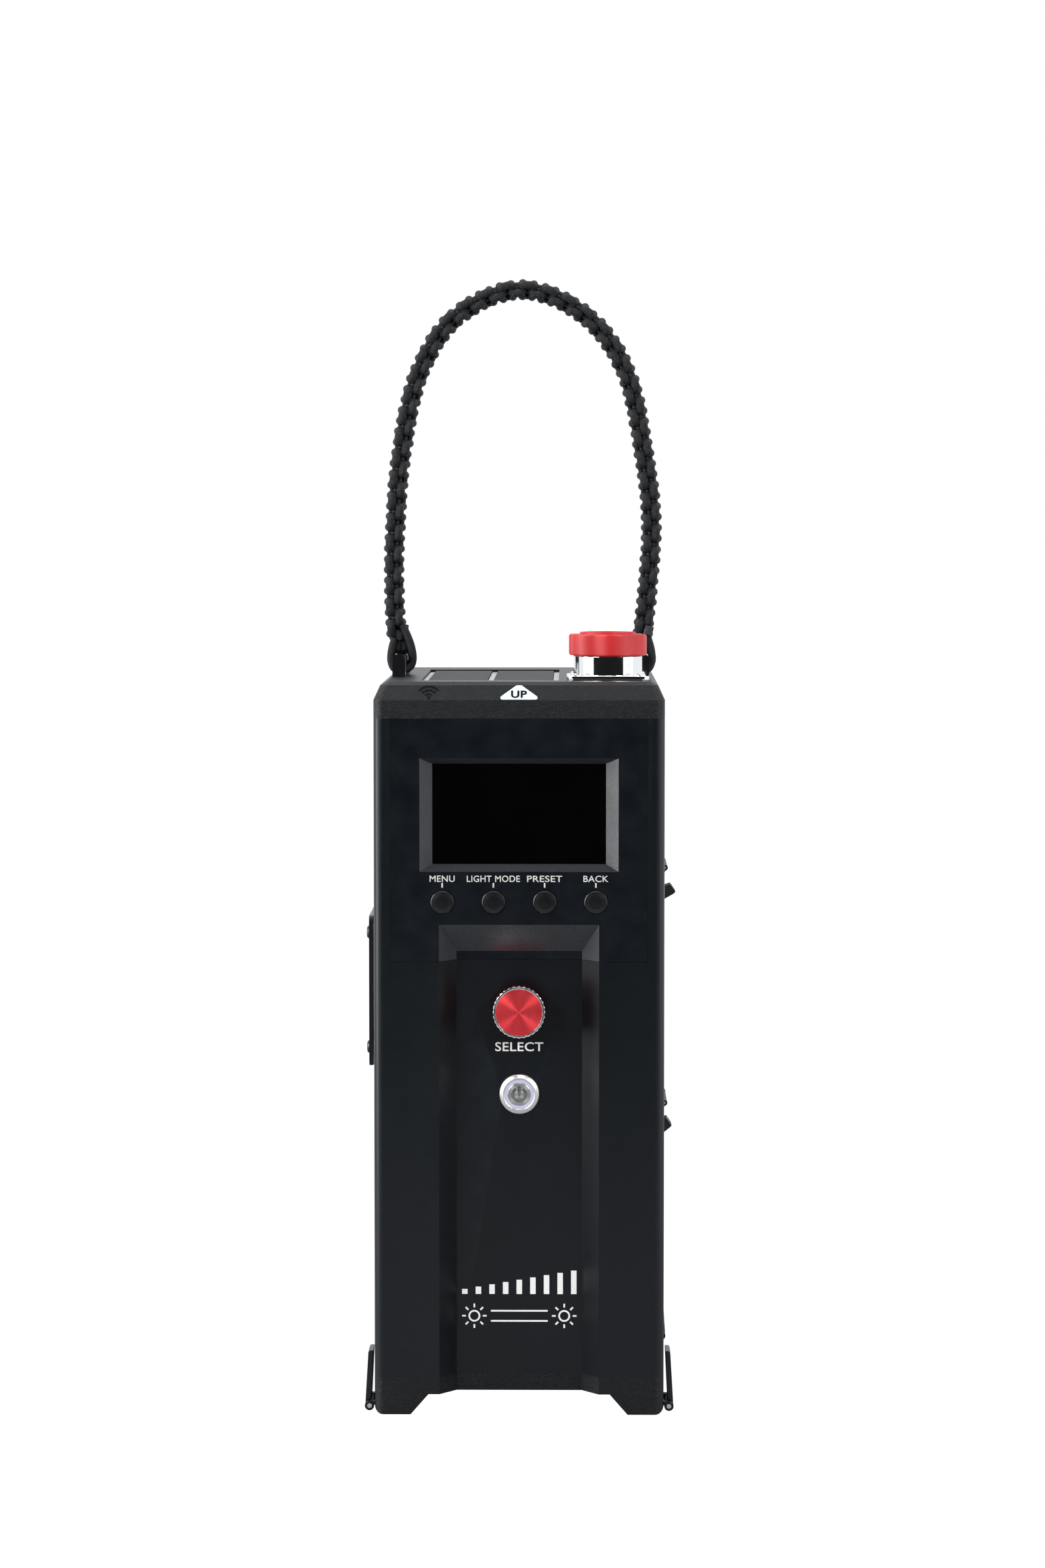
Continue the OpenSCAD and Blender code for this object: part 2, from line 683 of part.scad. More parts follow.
module plate_screws() {
  color("#8f9194") for (y = [-22, 22], z = [-28, 28])
    translate([-hw - 5.52, y, plate_z + z]) rotate([0, -90, 0]) dome_screw(3, 1.3, 1.5, 11);
}

// A port cover: a plate flush in its opening, a knuckle on the pin above and a finger tab
module port_cover(top, tip) {
  plate_top = top - gap;
  plate_low = top - port_span + gap;
  pin_z = top + 1.2;
  y0 = port_y[0] + 4;
  y1 = port_y[1] - 4;
  color("#131315") difference() {
    union() {
      block([hw - 2.3, port_y[0] + gap, plate_low], [hw - 0.1, port_y[1] - gap, plate_top]);
      bar_y(knuckle_r, y0, y1, knuckle_x, pin_z);
      along_y(y0, y1) polygon([[hw - 1.2, plate_top - 4], [hw - 0.1, plate_top - 4], [knuckle_x + 0.9,
        pin_z - 1], [knuckle_x - 0.9, pin_z - 1], [hw - 0.1, top - 1.6], [hw - 1.2, top - 1.6]]);
      along_y(tab_y - 6, tab_y + 6) polygon([[hw - 1, top - 9.6], [hw + tip - 2.6, top - 7.7],
        [hw + tip - 2.2, top - 8], [hw + tip, top - 11.2], [hw + tip - 0.8, top - 12.2],
        [hw + 0.6, top - 15.4], [hw - 1, top - 15.6]]);
    }
    bar_y(cover_pin_r + run, y0 - 1, y1 + 1, knuckle_x, pin_z);
  }
}

module port_cover_upper() { port_cover(port_tops[0], 7); }
module port_cover_lower() { port_cover(port_tops[1], 5.4); }

module cover_pins() {
  color("#9a9c9f") cover_pin_line(cover_pin_r - 0.005);
}

module port_block(top, holes) {
  face = hw - 6;
  color("#2a2b2e") difference() {
    block([face - 14, port_y[0] - 2, top - port_span - 1], [face, port_y[1] + 2, top + 1]);
    for (h = holes) translate([face - 9, h[0], top - port_span / 2]) cube([20, h[1], h[2]], center = true);
  }
}

module port_block_upper() { port_block(port_tops[0], [[-24, 9, 4.2], [-10, 9, 4.2], [3, 9, 4.2]]); }
module port_block_lower() { port_block(port_tops[1], [[-20, 13, 11], [1, 13, 11]]); }

// ---- feet ----

module corner_foot(x, y) {
  l = flap_l;
  color("#101113") mirror([x > 0 ? 0 : 1, 0, 0]) difference() {
    union() {
      bar_y(foot_r, y * foot_y - l / 2, y * foot_y + l / 2, foot_axis[0], foot_axis[1]);
      along_y(y * foot_y - l / 2, y * foot_y + l / 2) polygon([
        [foot_axis[0] - 0.5, foot_axis[1]], [foot_axis[0] - 1.7, foot_axis[1] + flap_h],
        [foot_axis[0] + 0.2, foot_axis[1] + flap_h], [foot_axis[0] + 0.7, foot_axis[1] + flap_h - 1],
        [foot_axis[0] + 2.15, foot_axis[1]]]);
    }
    bar_y(foot_pin_r + run, y * foot_y - l, y * foot_y + l, foot_axis[0], foot_axis[1]);
  }
}

module corner_foot_front_left() { corner_foot(-1, -1); }
module corner_foot_front_right() { corner_foot(1, -1); }
module corner_foot_rear_left() { corner_foot(-1, 1); }
module corner_foot_rear_right() { corner_foot(1, 1); }

module foot_pins() {
  color("#9a9c9f") for (x = [-1, 1], y = [-1, 1]) foot_pin(x, y, foot_pin_r - 0.005, flap_l / 2 + 3.4);
}

module rubber_feet() {
  color("#0d0d0e") for (x = [-1, 1], y = [-1, 1]) translate([x * 57, y * 81, 0]) slab(9, 30, 1.95, 2.8);
}

// ---- inside ----

module fan_frames() {
  color("#232427") for (z = fan_z) translate([0, 0, z]) difference() {
    translate([0, fan_y[1], 0]) rotate([90, 0, 0]) slab(fan_w, fan_w, fan_y[1] - fan_y[0], 3);
    bar_y(38.2, fan_y[0] - 1, fan_y[1] - 4);
    difference() {
      bar_y(38.2, fan_y[1] - 5, fan_y[1] + 1);
      bar_y(17, fan_y[1] - 6, fan_y[1] + 2);
      for (a = [45, 135]) rotate([0, a, 0]) block([-42, fan_y[1] - 6, -2], [42, fan_y[1] + 2, 2]);
    }
    bar_y(2.05, fan_y[1] - 8, fan_y[1] + 1);
  }
}

module fan_rotor(z) {
  blades = 7;
  color("#1b1c1e") translate([0, fan_y[0] + 1, z]) rotate([-90, 0, 0]) union() {
    cylinder(r = 16, h = 19);
    translate([0, 0, 18]) cylinder(r = 2, h = 5);
    intersection() {
      difference() {
        cylinder(r = 37, h = 18.5);
        translate([0, 0, -1]) cylinder(r = 15.5, h = 22);
      }
      ring_of(blades, 26) rotate([38, 0, 0]) cube([26, 1.8, 22], center = true);
    }
  }
}

module fan_rotor_upper() { fan_rotor(fan_z[0]); }
module fan_rotor_lower() { fan_rotor(fan_z[1]); }

module mains_inlet() {
  color("#1f3f8a") translate([0, 0, inlet_z]) difference() {
    union() {
      translate([0, hd + 2, 0]) rotate([90, 0, 0]) slab(32, 38, 1.98, 3);
      bar_y(12.9, hd - 22, hd + 1);
    }
    bar_y(11, hd - 12, hd + 3);
    for (x = [-1, 1]) bar_y(1.6, hd - 1, hd + 3, x * 13, x * 15);
    for (a = [0:120:240]) rotate([0, a, 0]) block([5, hd - 18, -1], [8.5, hd - 11, 1]);
  }
}

module heatsink() {
  fins = 19;
  color("#a9adb1") {
    block([-50, 26, 118], [50, 31, 292]);
    for (i = [0:fins - 1]) translate([lerp(-49, 47.4, i / (fins - 1)), 31, 118]) cube([1.6, 32, 174]);
  }
}

module power_board() {
  color("#2b5d3a") block([-60.5, -80, 24], [-58.9, 0, 205]);
  color("#3a3c40") block([-58.9, -70, 184], [-44, -4, 196]);
}

module transformer() {
  color("#c9a043") block([-58.8, -58, 32], [-24, -14, 72]);
  color("#35373a") block([-58.8, -50, 72], [-30, -22, 78]);
}

module choke() {
  color("#b8742f") translate([-50.4, -36, 104]) rotate([0, 90, 0])
    rotate_extrude() translate([13, 0]) circle(7.5);
}

module capacitors() {
  color("#22304d") for (z = [134, 153.5, 173]) bar_x(9, -58.8, -22, -40, z);
}

module control_board() {
  color("#1c4a6e") block([-52, -76, 216], [52, -74.4, 318]);
  color("#2c2d30") {
    block([-12, -74.4, 262], [12, -72, 286]);
    block([-44, -74.4, 226], [-30, -64, 240]);
    block([26, -74.4, 226], [46, -66, 236]);
  }
}

module inner_frame() {
  color("#8f9498") difference() {
    union() {
      block([-62, 22, 24], [62, 24, 320]);
      for (x = [-62, 60]) block([x, 2, 24], [x + 2, 22, 320]);
    }
    for (z = [60, 90]) block([-30, 21, z - 10], [30, 25, z + 10]);
    block([-30, 21, 296], [30, 25, 312]);
    for (top = port_tops) block([55, -10, top - port_span - 3], [63, 16, top + 3]);
  }
}

module antenna_board() {
  color("#20603b") block([-54, -88, shell_top + 0.5], [-30, -72, shell_top + 2]);
}

// Draws the parts
body_shell();
top_cap();
bottom_cap();
front_panel();
rear_panel();
screen_glass();
display_module();
button_menu();
button_mode();
button_preset();
button_back();
button_board();
encoder_body();
encoder_plunger();
encoder_shaft();
encoder_nut();
knob_rim();
knob_face();
switch_housing();
switch_ring();
power_button();
switch_nut();
arrow_badge();
handle_lugs();
lug_screws();
handle_loops();
handle_strap();
tray_pads();
output_socket();
socket_insert();
socket_contacts();
socket_screws();
socket_cap();
mount_plate();
plate_spacers();
plate_screws();
port_cover_upper();
port_cover_lower();
cover_pins();
port_block_upper();
port_block_lower();
corner_foot_front_left();
corner_foot_front_right();
corner_foot_rear_left();
corner_foot_rear_right();
foot_pins();
rubber_feet();
fan_frames();
fan_rotor_upper();
fan_rotor_lower();
mains_inlet();
heatsink();
power_board();
transformer();
choke();
capacitors();
control_board();
inner_frame();
rear_screws();
antenna_board();
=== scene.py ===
import json
import math
import random

import bpy
import bmesh
from mathutils import Matrix, Vector
from mathutils.bvhtree import BVHTree


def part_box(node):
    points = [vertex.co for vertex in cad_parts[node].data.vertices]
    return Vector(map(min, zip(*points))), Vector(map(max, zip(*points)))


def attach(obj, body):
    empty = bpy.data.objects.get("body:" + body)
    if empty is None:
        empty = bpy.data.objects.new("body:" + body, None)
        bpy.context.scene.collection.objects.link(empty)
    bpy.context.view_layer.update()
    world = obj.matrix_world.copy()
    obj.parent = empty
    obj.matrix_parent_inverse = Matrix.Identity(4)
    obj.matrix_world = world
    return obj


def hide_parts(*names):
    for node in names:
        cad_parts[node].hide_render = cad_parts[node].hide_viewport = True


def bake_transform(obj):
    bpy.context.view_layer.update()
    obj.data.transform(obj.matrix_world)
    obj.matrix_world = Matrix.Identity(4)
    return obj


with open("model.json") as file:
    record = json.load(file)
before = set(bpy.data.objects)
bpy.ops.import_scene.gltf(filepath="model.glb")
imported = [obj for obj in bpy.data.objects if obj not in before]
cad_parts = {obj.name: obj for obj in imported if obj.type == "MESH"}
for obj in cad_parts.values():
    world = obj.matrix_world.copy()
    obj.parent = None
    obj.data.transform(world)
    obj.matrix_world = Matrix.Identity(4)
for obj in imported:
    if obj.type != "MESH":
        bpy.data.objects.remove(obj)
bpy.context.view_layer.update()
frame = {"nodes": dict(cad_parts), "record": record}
mm = 0.001
nodes = frame["nodes"]


# camera, lights and floor

camera = dict(place=(0.0236, -2.0125, 0.420), tilt=86.337, pan=0.658, lens=94.5)
studio = dict(floorSize=60.0, nearFloor=2.0, paper=(0.8, 0.8, 0.8), paperGlow=1.13, paperShare=0.1,
              hiddenPaper=(0.3, 0.3, 0.31), darkAhead=0.012, brightBehind=1.0,
              turnsDark=-0.62, turnsBright=0.12)
lamps = [  # name, place, aim, size, power
        ("stripLeft", (-1.3, -0.3, 0.5), (0, -0.05, 0.22), (0.4, 1.4), 14),
    ("stripRight", (1.3, -0.2, 0.5), (0, -0.05, 0.22), (0.4, 1.4), 2),
    ("sideLeft", (-1.7, -1.05, 0.6), (0, 0, 0.22), (0.8, 1.6), 7),
    ("sideRight", (1.7, -0.9, 0.55), (0, 0, 0.22), (0.7, 1.6), 4),
    ("frontHigh", (0.2, -1.9, 2.5), (0, 0, 0.2), (0.8, 0.8), 9),
    ("frontLeft", (-1.6, -1.9, 1.3), (0, 0, 0.2), (0.8, 0.8), 32),
    ("frontRight", (1.6, -1.9, 1.3), (0, 0, 0.2), (0.8, 0.8), 28),
    ("overhead", (0.0, 0.1, 1.7), (0, 0, 0.3), (1.6, 1.2), 7),
]


def aimAt(thing, target):
    away = Vector(thing.location) - Vector(target)
    thing.rotation_euler = away.to_track_quat("Z", "Y").to_euler()


def makePaper():
    paper = bpy.data.materials.new("palePaper")
    paper.use_nodes = True
    tree = paper.node_tree
    shader = tree.nodes["Principled BSDF"]
    shader.inputs["Base Color"].default_value = (*studio["hiddenPaper"], 1)
    shader.inputs["Roughness"].default_value = 0.9
    seen = tree.nodes.new("ShaderNodeBsdfDiffuse")
    seen.inputs["Color"].default_value = (*studio["paper"], 1)
    glow = tree.nodes.new("ShaderNodeEmission")
    glow.inputs["Strength"].default_value = studio["paperGlow"]
    blendBoth = tree.nodes.new("ShaderNodeMixShader")
    blendBoth.inputs["Fac"].default_value = studio["paperShare"]
    tree.links.new(glow.outputs["Emission"], blendBoth.inputs[1])
    tree.links.new(seen.outputs["BSDF"], blendBoth.inputs[2])
    path = tree.nodes.new("ShaderNodeLightPath")
    pick = tree.nodes.new("ShaderNodeMixShader")
    tree.links.new(path.outputs["Is Camera Ray"], pick.inputs["Fac"])
    tree.links.new(shader.outputs["BSDF"], pick.inputs[1])
    tree.links.new(blendBoth.outputs["Shader"], pick.inputs[2])
    tree.links.new(pick.outputs["Shader"], tree.nodes["Material Output"].inputs["Surface"])
    return paper


def laySheet(name, inner, outer, paper):
    # a square, or a square frame where the outer half size is larger than the inner one
    def corners(half):
        return [(-half, -half, 0), (half, -half, 0), (half, half, 0), (-half, half, 0)]
    if outer > inner:
        faces = [(i, (i + 1) % 4, 4 + (i + 1) % 4, 4 + i) for i in range(4)]
        points = corners(outer) + corners(inner)
    else:
        points, faces = corners(inner), [(0, 1, 2, 3)]
    mesh = bpy.data.meshes.new(name)
    mesh.from_pydata(points, [], faces)
    mesh.materials.append(paper)
    sheet = bpy.data.objects.new(name, mesh)
    bpy.context.collection.objects.link(sheet)
    return sheet


def setStage():
    lensData = bpy.data.cameras.new("camera")
    lensData.lens = camera["lens"]
    lensData.sensor_width = 36
    lensData.clip_start = 0.05
    eye = bpy.data.objects.new("camera", lensData)
    bpy.context.collection.objects.link(eye)
    eye.location = camera["place"]
    eye.rotation_euler = (math.radians(camera["tilt"]), 0, math.radians(camera["pan"]))
    bpy.context.scene.camera = eye

    paper = makePaper()
    near, far = studio["nearFloor"] / 2, studio["floorSize"] / 2
    laySheet("floor", near, near, paper)
    # the rest of the floor is only there for the camera
    outer = laySheet("farFloor", near, far, paper)
    outer.visible_glossy = outer.visible_diffuse = outer.visible_shadow = False

    world = bpy.data.worlds.new("studioAir")
    world.use_nodes = True
    tree = world.node_tree
    # dark room ahead of the object, white sheets beside and behind it
    air = tree.nodes["Background"]
    air.inputs["Color"].default_value = (0.94, 0.97, 1, 1)
    toward = tree.nodes.new("ShaderNodeTexCoord")
    split = tree.nodes.new("ShaderNodeSeparateXYZ")
    tree.links.new(toward.outputs["Generated"], split.inputs["Vector"])
    fade = tree.nodes.new("ShaderNodeMapRange")
    fade.interpolation_type = "SMOOTHSTEP"
    fade.inputs["From Min"].default_value = studio["turnsDark"]
    fade.inputs["From Max"].default_value = studio["turnsBright"]
    fade.inputs["To Min"].default_value = studio["darkAhead"]
    fade.inputs["To Max"].default_value = studio["brightBehind"]
    tree.links.new(split.outputs["Y"], fade.inputs["Value"])
    tree.links.new(fade.outputs["Result"], air.inputs["Strength"])
    backdrop = tree.nodes.new("ShaderNodeBackground")
    backdrop.inputs["Color"].default_value = (1, 1, 1, 1)
    path = tree.nodes.new("ShaderNodeLightPath")
    pick = tree.nodes.new("ShaderNodeMixShader")
    tree.links.new(path.outputs["Is Camera Ray"], pick.inputs["Fac"])
    tree.links.new(air.outputs["Background"], pick.inputs[1])
    tree.links.new(backdrop.outputs["Background"], pick.inputs[2])
    tree.links.new(pick.outputs["Shader"], tree.nodes["World Output"].inputs["Surface"])
    bpy.context.scene.world = world
    bpy.context.scene.view_settings.view_transform = "Standard"

    for name, place, target, size, power in lamps:
        light = bpy.data.lights.new(name, "AREA")
        light.shape = "RECTANGLE"
        light.size, light.size_y = size
        light.energy = power
        lamp = bpy.data.objects.new(name, light)
        lamp.location = place
        aimAt(lamp, target)
        bpy.context.collection.objects.link(lamp)


setStage()
print("stage set")


# materials

def newMaterial(name, color, rough, metallic=0.0, coat=0.0, shine=0.5):
    made = bpy.data.materials.new(name)
    made.use_nodes = True
    shader = made.node_tree.nodes["Principled BSDF"]
    shader.inputs["Base Color"].default_value = (*color, 1)
    shader.inputs["Roughness"].default_value = rough
    shader.inputs["Metallic"].default_value = metallic
    shader.inputs["Coat Weight"].default_value = coat
    shader.inputs["Specular IOR Level"].default_value = shine
    return made, made.node_tree, shader


def addNode(tree, kind, **values):
    node = tree.nodes.new(kind)
    for key, value in values.items():
        if key in node.inputs:
            node.inputs[key].default_value = value
        else:
            setattr(node, key, value)
    return node


def objectCoords(tree):
    return addNode(tree, "ShaderNodeTexCoord").outputs["Object"]


def addNoise(tree, scale, detail=3.0, rough=0.5):
    noise = addNode(tree, "ShaderNodeTexNoise", Scale=scale, Detail=detail, Roughness=rough)
    tree.links.new(objectCoords(tree), noise.inputs["Vector"])
    return noise.outputs["Fac"]


def addRange(tree, value, low, high, start=0.3, stop=0.7):
    ranged = addNode(tree, "ShaderNodeMapRange")
    ranged.inputs["From Min"].default_value = start
    ranged.inputs["From Max"].default_value = stop
    ranged.inputs["To Min"].default_value = low
    ranged.inputs["To Max"].default_value = high
    tree.links.new(value, ranged.inputs["Value"])
    return ranged.outputs["Result"]


def addMath(tree, operation, first, second=None):
    worked = addNode(tree, "ShaderNodeMath", operation=operation)
    for value, socket in ((first, worked.inputs[0]), (second, worked.inputs[1])):
        if isinstance(value, (int, float)):
            socket.default_value = value
        elif value is not None:
            tree.links.new(value, socket)
    return worked.outputs["Value"]


def addBump(tree, shader, height, distance, strength=1.0, below=None):
    bump = addNode(tree, "ShaderNodeBump", Strength=strength, Distance=distance)
    tree.links.new(height, bump.inputs["Height"])
    if below:
        tree.links.new(below.outputs["Normal"], bump.inputs["Normal"])
    tree.links.new(bump.outputs["Normal"], shader.inputs["Normal"])
    return bump


def mixColors(tree, factor, first, second):
    mix = addNode(tree, "ShaderNodeMix", data_type="RGBA")
    tree.links.new(factor, mix.inputs["Factor"])
    for color, socket in ((first, mix.inputs[6]), (second, mix.inputs[7])):
        if isinstance(color, tuple):
            socket.default_value = (*color, 1)
        else:
            tree.links.new(color, socket)
    return mix.outputs[2]


def edgeWearAndSheen(tree, low=0.52, high=0.62):
    # bright only along outer edges, broken up by noise: partly paint abraded away, partly a painted
    # highlight of the rounded edges
    edges = addNode(tree, "ShaderNodeNewGeometry").outputs["Pointiness"]
    rubbedAndSheen = addRange(tree, edges, 0, 1, low, high)
    return addMath(tree, "MULTIPLY", rubbedAndSheen, addRange(tree, addNoise(tree, 140, 4), 0.2, 1))


def paintedMetal(name, color, rough=0.4, grain=0.000012, grainScale=1600, wearAndSheen=0.35):
    made, tree, shader = newMaterial(name, color, rough, shine=0.4)
    lighter = tuple(min(1, c * 1.15 + 0.0002) for c in color)
    # edge colour, part abrasion and part painted highlight
    rubbedAndSheen = tuple(min(1, c * 3 + 0.02) for c in color)
    patches = mixColors(tree, addRange(tree, addNoise(tree, 26, 4, 0.6), 0, 1), color, lighter)
    wornAndSheen = addMath(tree, "MULTIPLY", edgeWearAndSheen(tree), wearAndSheen)
    tree.links.new(mixColors(tree, wornAndSheen, patches, rubbedAndSheen), shader.inputs["Base Color"])
    tree.links.new(addRange(tree, addNoise(tree, 60, 5), rough - 0.015, rough + 0.02),
                   shader.inputs["Roughness"])
    addBump(tree, shader, addNoise(tree, grainScale, 2), grain)
    return made


def sparkPlastic(name, color, rough=0.31):
    # coarse spark-eroded moulding: pits about half a millimetre across that glitter
    made, tree, shader = newMaterial(name, color, rough, shine=0.35)
    cells = addNode(tree, "ShaderNodeTexVoronoi", Scale=1900)
    tree.links.new(objectCoords(tree), cells.inputs["Vector"])
    tree.links.new(addRange(tree, cells.outputs["Distance"], rough - 0.1, rough + 0.1, 0, 0.7),
                   shader.inputs["Roughness"])
    # the light specks in the base colour are painted glints standing in for the pits' sparkle
    glintSpecks = addRange(tree, addNoise(tree, 2600, 2), 0, 1, 0.53, 0.68)
    deep, glintColor = tuple(c * 0.6 for c in color), tuple(c * 2.5 + 0.002 for c in color)
    tree.links.new(mixColors(tree, glintSpecks, deep, glintColor), shader.inputs["Base Color"])
    coarse = addBump(tree, shader, addNoise(tree, 1700, 3, 0.6), 0.00022, 1.0)
    addBump(tree, shader, cells.outputs["Distance"], 0.00014, 0.8, coarse)
    return made


def polishedMetal(name, color, rough=0.08):
    made, tree, shader = newMaterial(name, color, rough, metallic=1.0)
    tree.links.new(addRange(tree, addNoise(tree, 180, 4), rough * 0.7, rough * 1.5),
                   shader.inputs["Roughness"])
    addBump(tree, shader, addNoise(tree, 300, 3), 0.000003)
    return made


def spunMetal(name, color, rough, ringsPerMetre, middle, groove, turning=0.8, metallic=1.0):
    # lathe-turned face: fine rings about a line along Y, stretched glints across them
    made, tree, shader = newMaterial(name, color, rough, metallic=metallic)
    shift = addNode(tree, "ShaderNodeMapping")
    shift.inputs["Location"].default_value = (-middle[0], -middle[1], -middle[2])
    tree.links.new(objectCoords(tree), shift.inputs["Vector"])
    rings = addNode(tree, "ShaderNodeTexWave", wave_type="RINGS", rings_direction="Y",
                    Scale=ringsPerMetre, Distortion=0.4, Detail=1.0)
    tree.links.new(shift.outputs["Vector"], rings.inputs["Vector"])
    shader.inputs["Anisotropic"].default_value = turning
    shader.inputs["Anisotropic Rotation"].default_value = 0.25  # glints lie across the grooves
    sweep = addNode(tree, "ShaderNodeTangent", direction_type="RADIAL", axis="Y")
    tree.links.new(sweep.outputs["Tangent"], shader.inputs["Tangent"])
    darker = tuple(c * 0.72 for c in color)
    tree.links.new(mixColors(tree, rings.outputs["Fac"], darker, color), shader.inputs["Base Color"])
    tree.links.new(addRange(tree, addNoise(tree, 400, 3), rough - 0.04, rough + 0.05),
                   shader.inputs["Roughness"])
    addBump(tree, shader, rings.outputs["Fac"], groove)
    return made


def smoothPlastic(name, color, rough=0.35, coat=0.0, grain=0.00001):
    made, tree, shader = newMaterial(name, color, rough, coat=coat)
    tree.links.new(addRange(tree, addNoise(tree, 90, 4), rough * 0.92, rough * 1.12),
                   shader.inputs["Roughness"])
    tone = addRange(tree, addNoise(tree, 40, 3), 0, 1)
    tree.links.new(mixColors(tree, tone, color, tuple(c * 1.2 + 0.0005 for c in color)),
                   shader.inputs["Base Color"])
    addBump(tree, shader, addNoise(tree, 1100, 2), grain)
    return made


def satinWithSlopeSheen(name, flatColor, slopeSheenColor, rough):
    # satin on the flat face; every slope gets a coarser grain and a paler colour, and that paleness is
    # painted sheen
    made, tree, shader = newMaterial(name, flatColor, rough, shine=0.4)
    facing = addNode(tree, "ShaderNodeSeparateXYZ")
    tree.links.new(addNode(tree, "ShaderNodeNewGeometry").outputs["True Normal"], facing.inputs["Vector"])
    # slopes found by their normal: this mask sets the painted sheen colour and strengthens the grain bump
    slopeGrainAndSheen = addRange(tree, facing.outputs["Y"], 0, 1, -0.98, -0.9)
    flat = mixColors(tree, addRange(tree, addNoise(tree, 40, 3), 0, 1), flatColor,
                     tuple(c * 1.15 + 0.0001 for c in flatColor))
    slopeSheenGrain = mixColors(tree, addRange(tree, addNoise(tree, 2400, 2), 0, 1),
                       tuple(c * 0.6 for c in slopeSheenColor), tuple(c * 1.4 for c in slopeSheenColor))
    tree.links.new(mixColors(tree, slopeGrainAndSheen, flat, slopeSheenGrain), shader.inputs["Base Color"])
    tree.links.new(addRange(tree, addNoise(tree, 90, 4), rough - 0.04, rough + 0.06),
                   shader.inputs["Roughness"])
    grain = addMath(tree, "MULTIPLY", addNoise(tree, 1500, 2), addMath(tree, "ADD", slopeGrainAndSheen, 0.15))
    addBump(tree, shader, grain, 0.00008)
    return made


def twoTone(name, front, behind, color):
    # plated at the front, anodised further back
    made, tree, shader = newMaterial(name, color, 0.22, metallic=1.0)
    split = addNode(tree, "ShaderNodeSeparateXYZ")
    tree.links.new(objectCoords(tree), split.inputs["Vector"])
    depth = addRange(tree, split.outputs["Y"], 0, 1, front, front + 0.2 * mm)
    tree.links.new(mixColors(tree, depth, color, behind), shader.inputs["Base Color"])
    tree.links.new(addRange(tree, addNoise(tree, 180, 4), 0.16, 0.3), shader.inputs["Roughness"])
    addBump(tree, shader, addNoise(tree, 300, 3), 0.000003)
    return made


def printInk(name, color, rough=0.5, shine=0.5):
    made, tree, shader = newMaterial(name, color, rough, shine=shine)
    tree.links.new(mixColors(tree, addRange(tree, addNoise(tree, 900, 3), 0, 1),
                             tuple(c * 0.9 for c in color), color), shader.inputs["Base Color"])
    tree.links.new(addRange(tree, addNoise(tree, 300, 3), rough - 0.05, rough + 0.08),
                   shader.inputs["Roughness"])
    addBump(tree, shader, addNoise(tree, 2500, 2), 0.000008)
    return made


def braidedNylon(name, color, yarn=1.05 * mm):
    # two sets of yarns cross at 45 degrees on the cord's own surface, in metres along and around
    made, tree, shader = newMaterial(name, color, 0.5, shine=0.3)
    split = addNode(tree, "ShaderNodeSeparateXYZ")
    tree.links.new(addNode(tree, "ShaderNodeTexCoord").outputs["UV"], split.inputs["Vector"])
    along, around = split.outputs["X"], split.outputs["Y"]
    turn = math.pi / yarn
    rise = addMath(tree, "MULTIPLY", addMath(tree, "ADD", along, around), turn)
    fall = addMath(tree, "MULTIPLY", addMath(tree, "SUBTRACT", along, around), turn)
    riseWave, fallWave = addMath(tree, "SINE", rise), addMath(tree, "SINE", fall)
    # which set lies on top swaps from one crossing to the next
    over = addRange(tree, addMath(tree, "MULTIPLY", riseWave, fallWave), 0, 1, -0.25, 0.25)
    riseHeight = addMath(tree, "ABSOLUTE", riseWave)
    fallHeight = addMath(tree, "ABSOLUTE", fallWave)
    upper = addMath(tree, "MULTIPLY", riseHeight, over)
    lower = addMath(tree, "MULTIPLY", fallHeight, addMath(tree, "SUBTRACT", 1.0, over))
    height = addMath(tree, "ADD", upper, lower)
    fuzz = addNoise(tree, 3800, 3, 0.7)
    rough = addMath(tree, "ADD", height, addMath(tree, "MULTIPLY", fuzz, 0.35))
    addBump(tree, shader, rough, 0.00026, 0.9)
    glint = addRange(tree, height, 0, 1, 0.35, 0.98)
    tree.links.new(mixColors(tree, glint, tuple(c * 0.2 for c in color), tuple(c * 3 for c in color)),
                   shader.inputs["Base Color"])
    tree.links.new(addRange(tree, fuzz, 0.4, 0.6), shader.inputs["Roughness"])
    return made


knobMiddle = (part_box("knob_face")[0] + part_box("knob_face")[1]) / 2
switchMiddle = (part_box("power_button")[0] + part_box("power_button")[1]) / 2

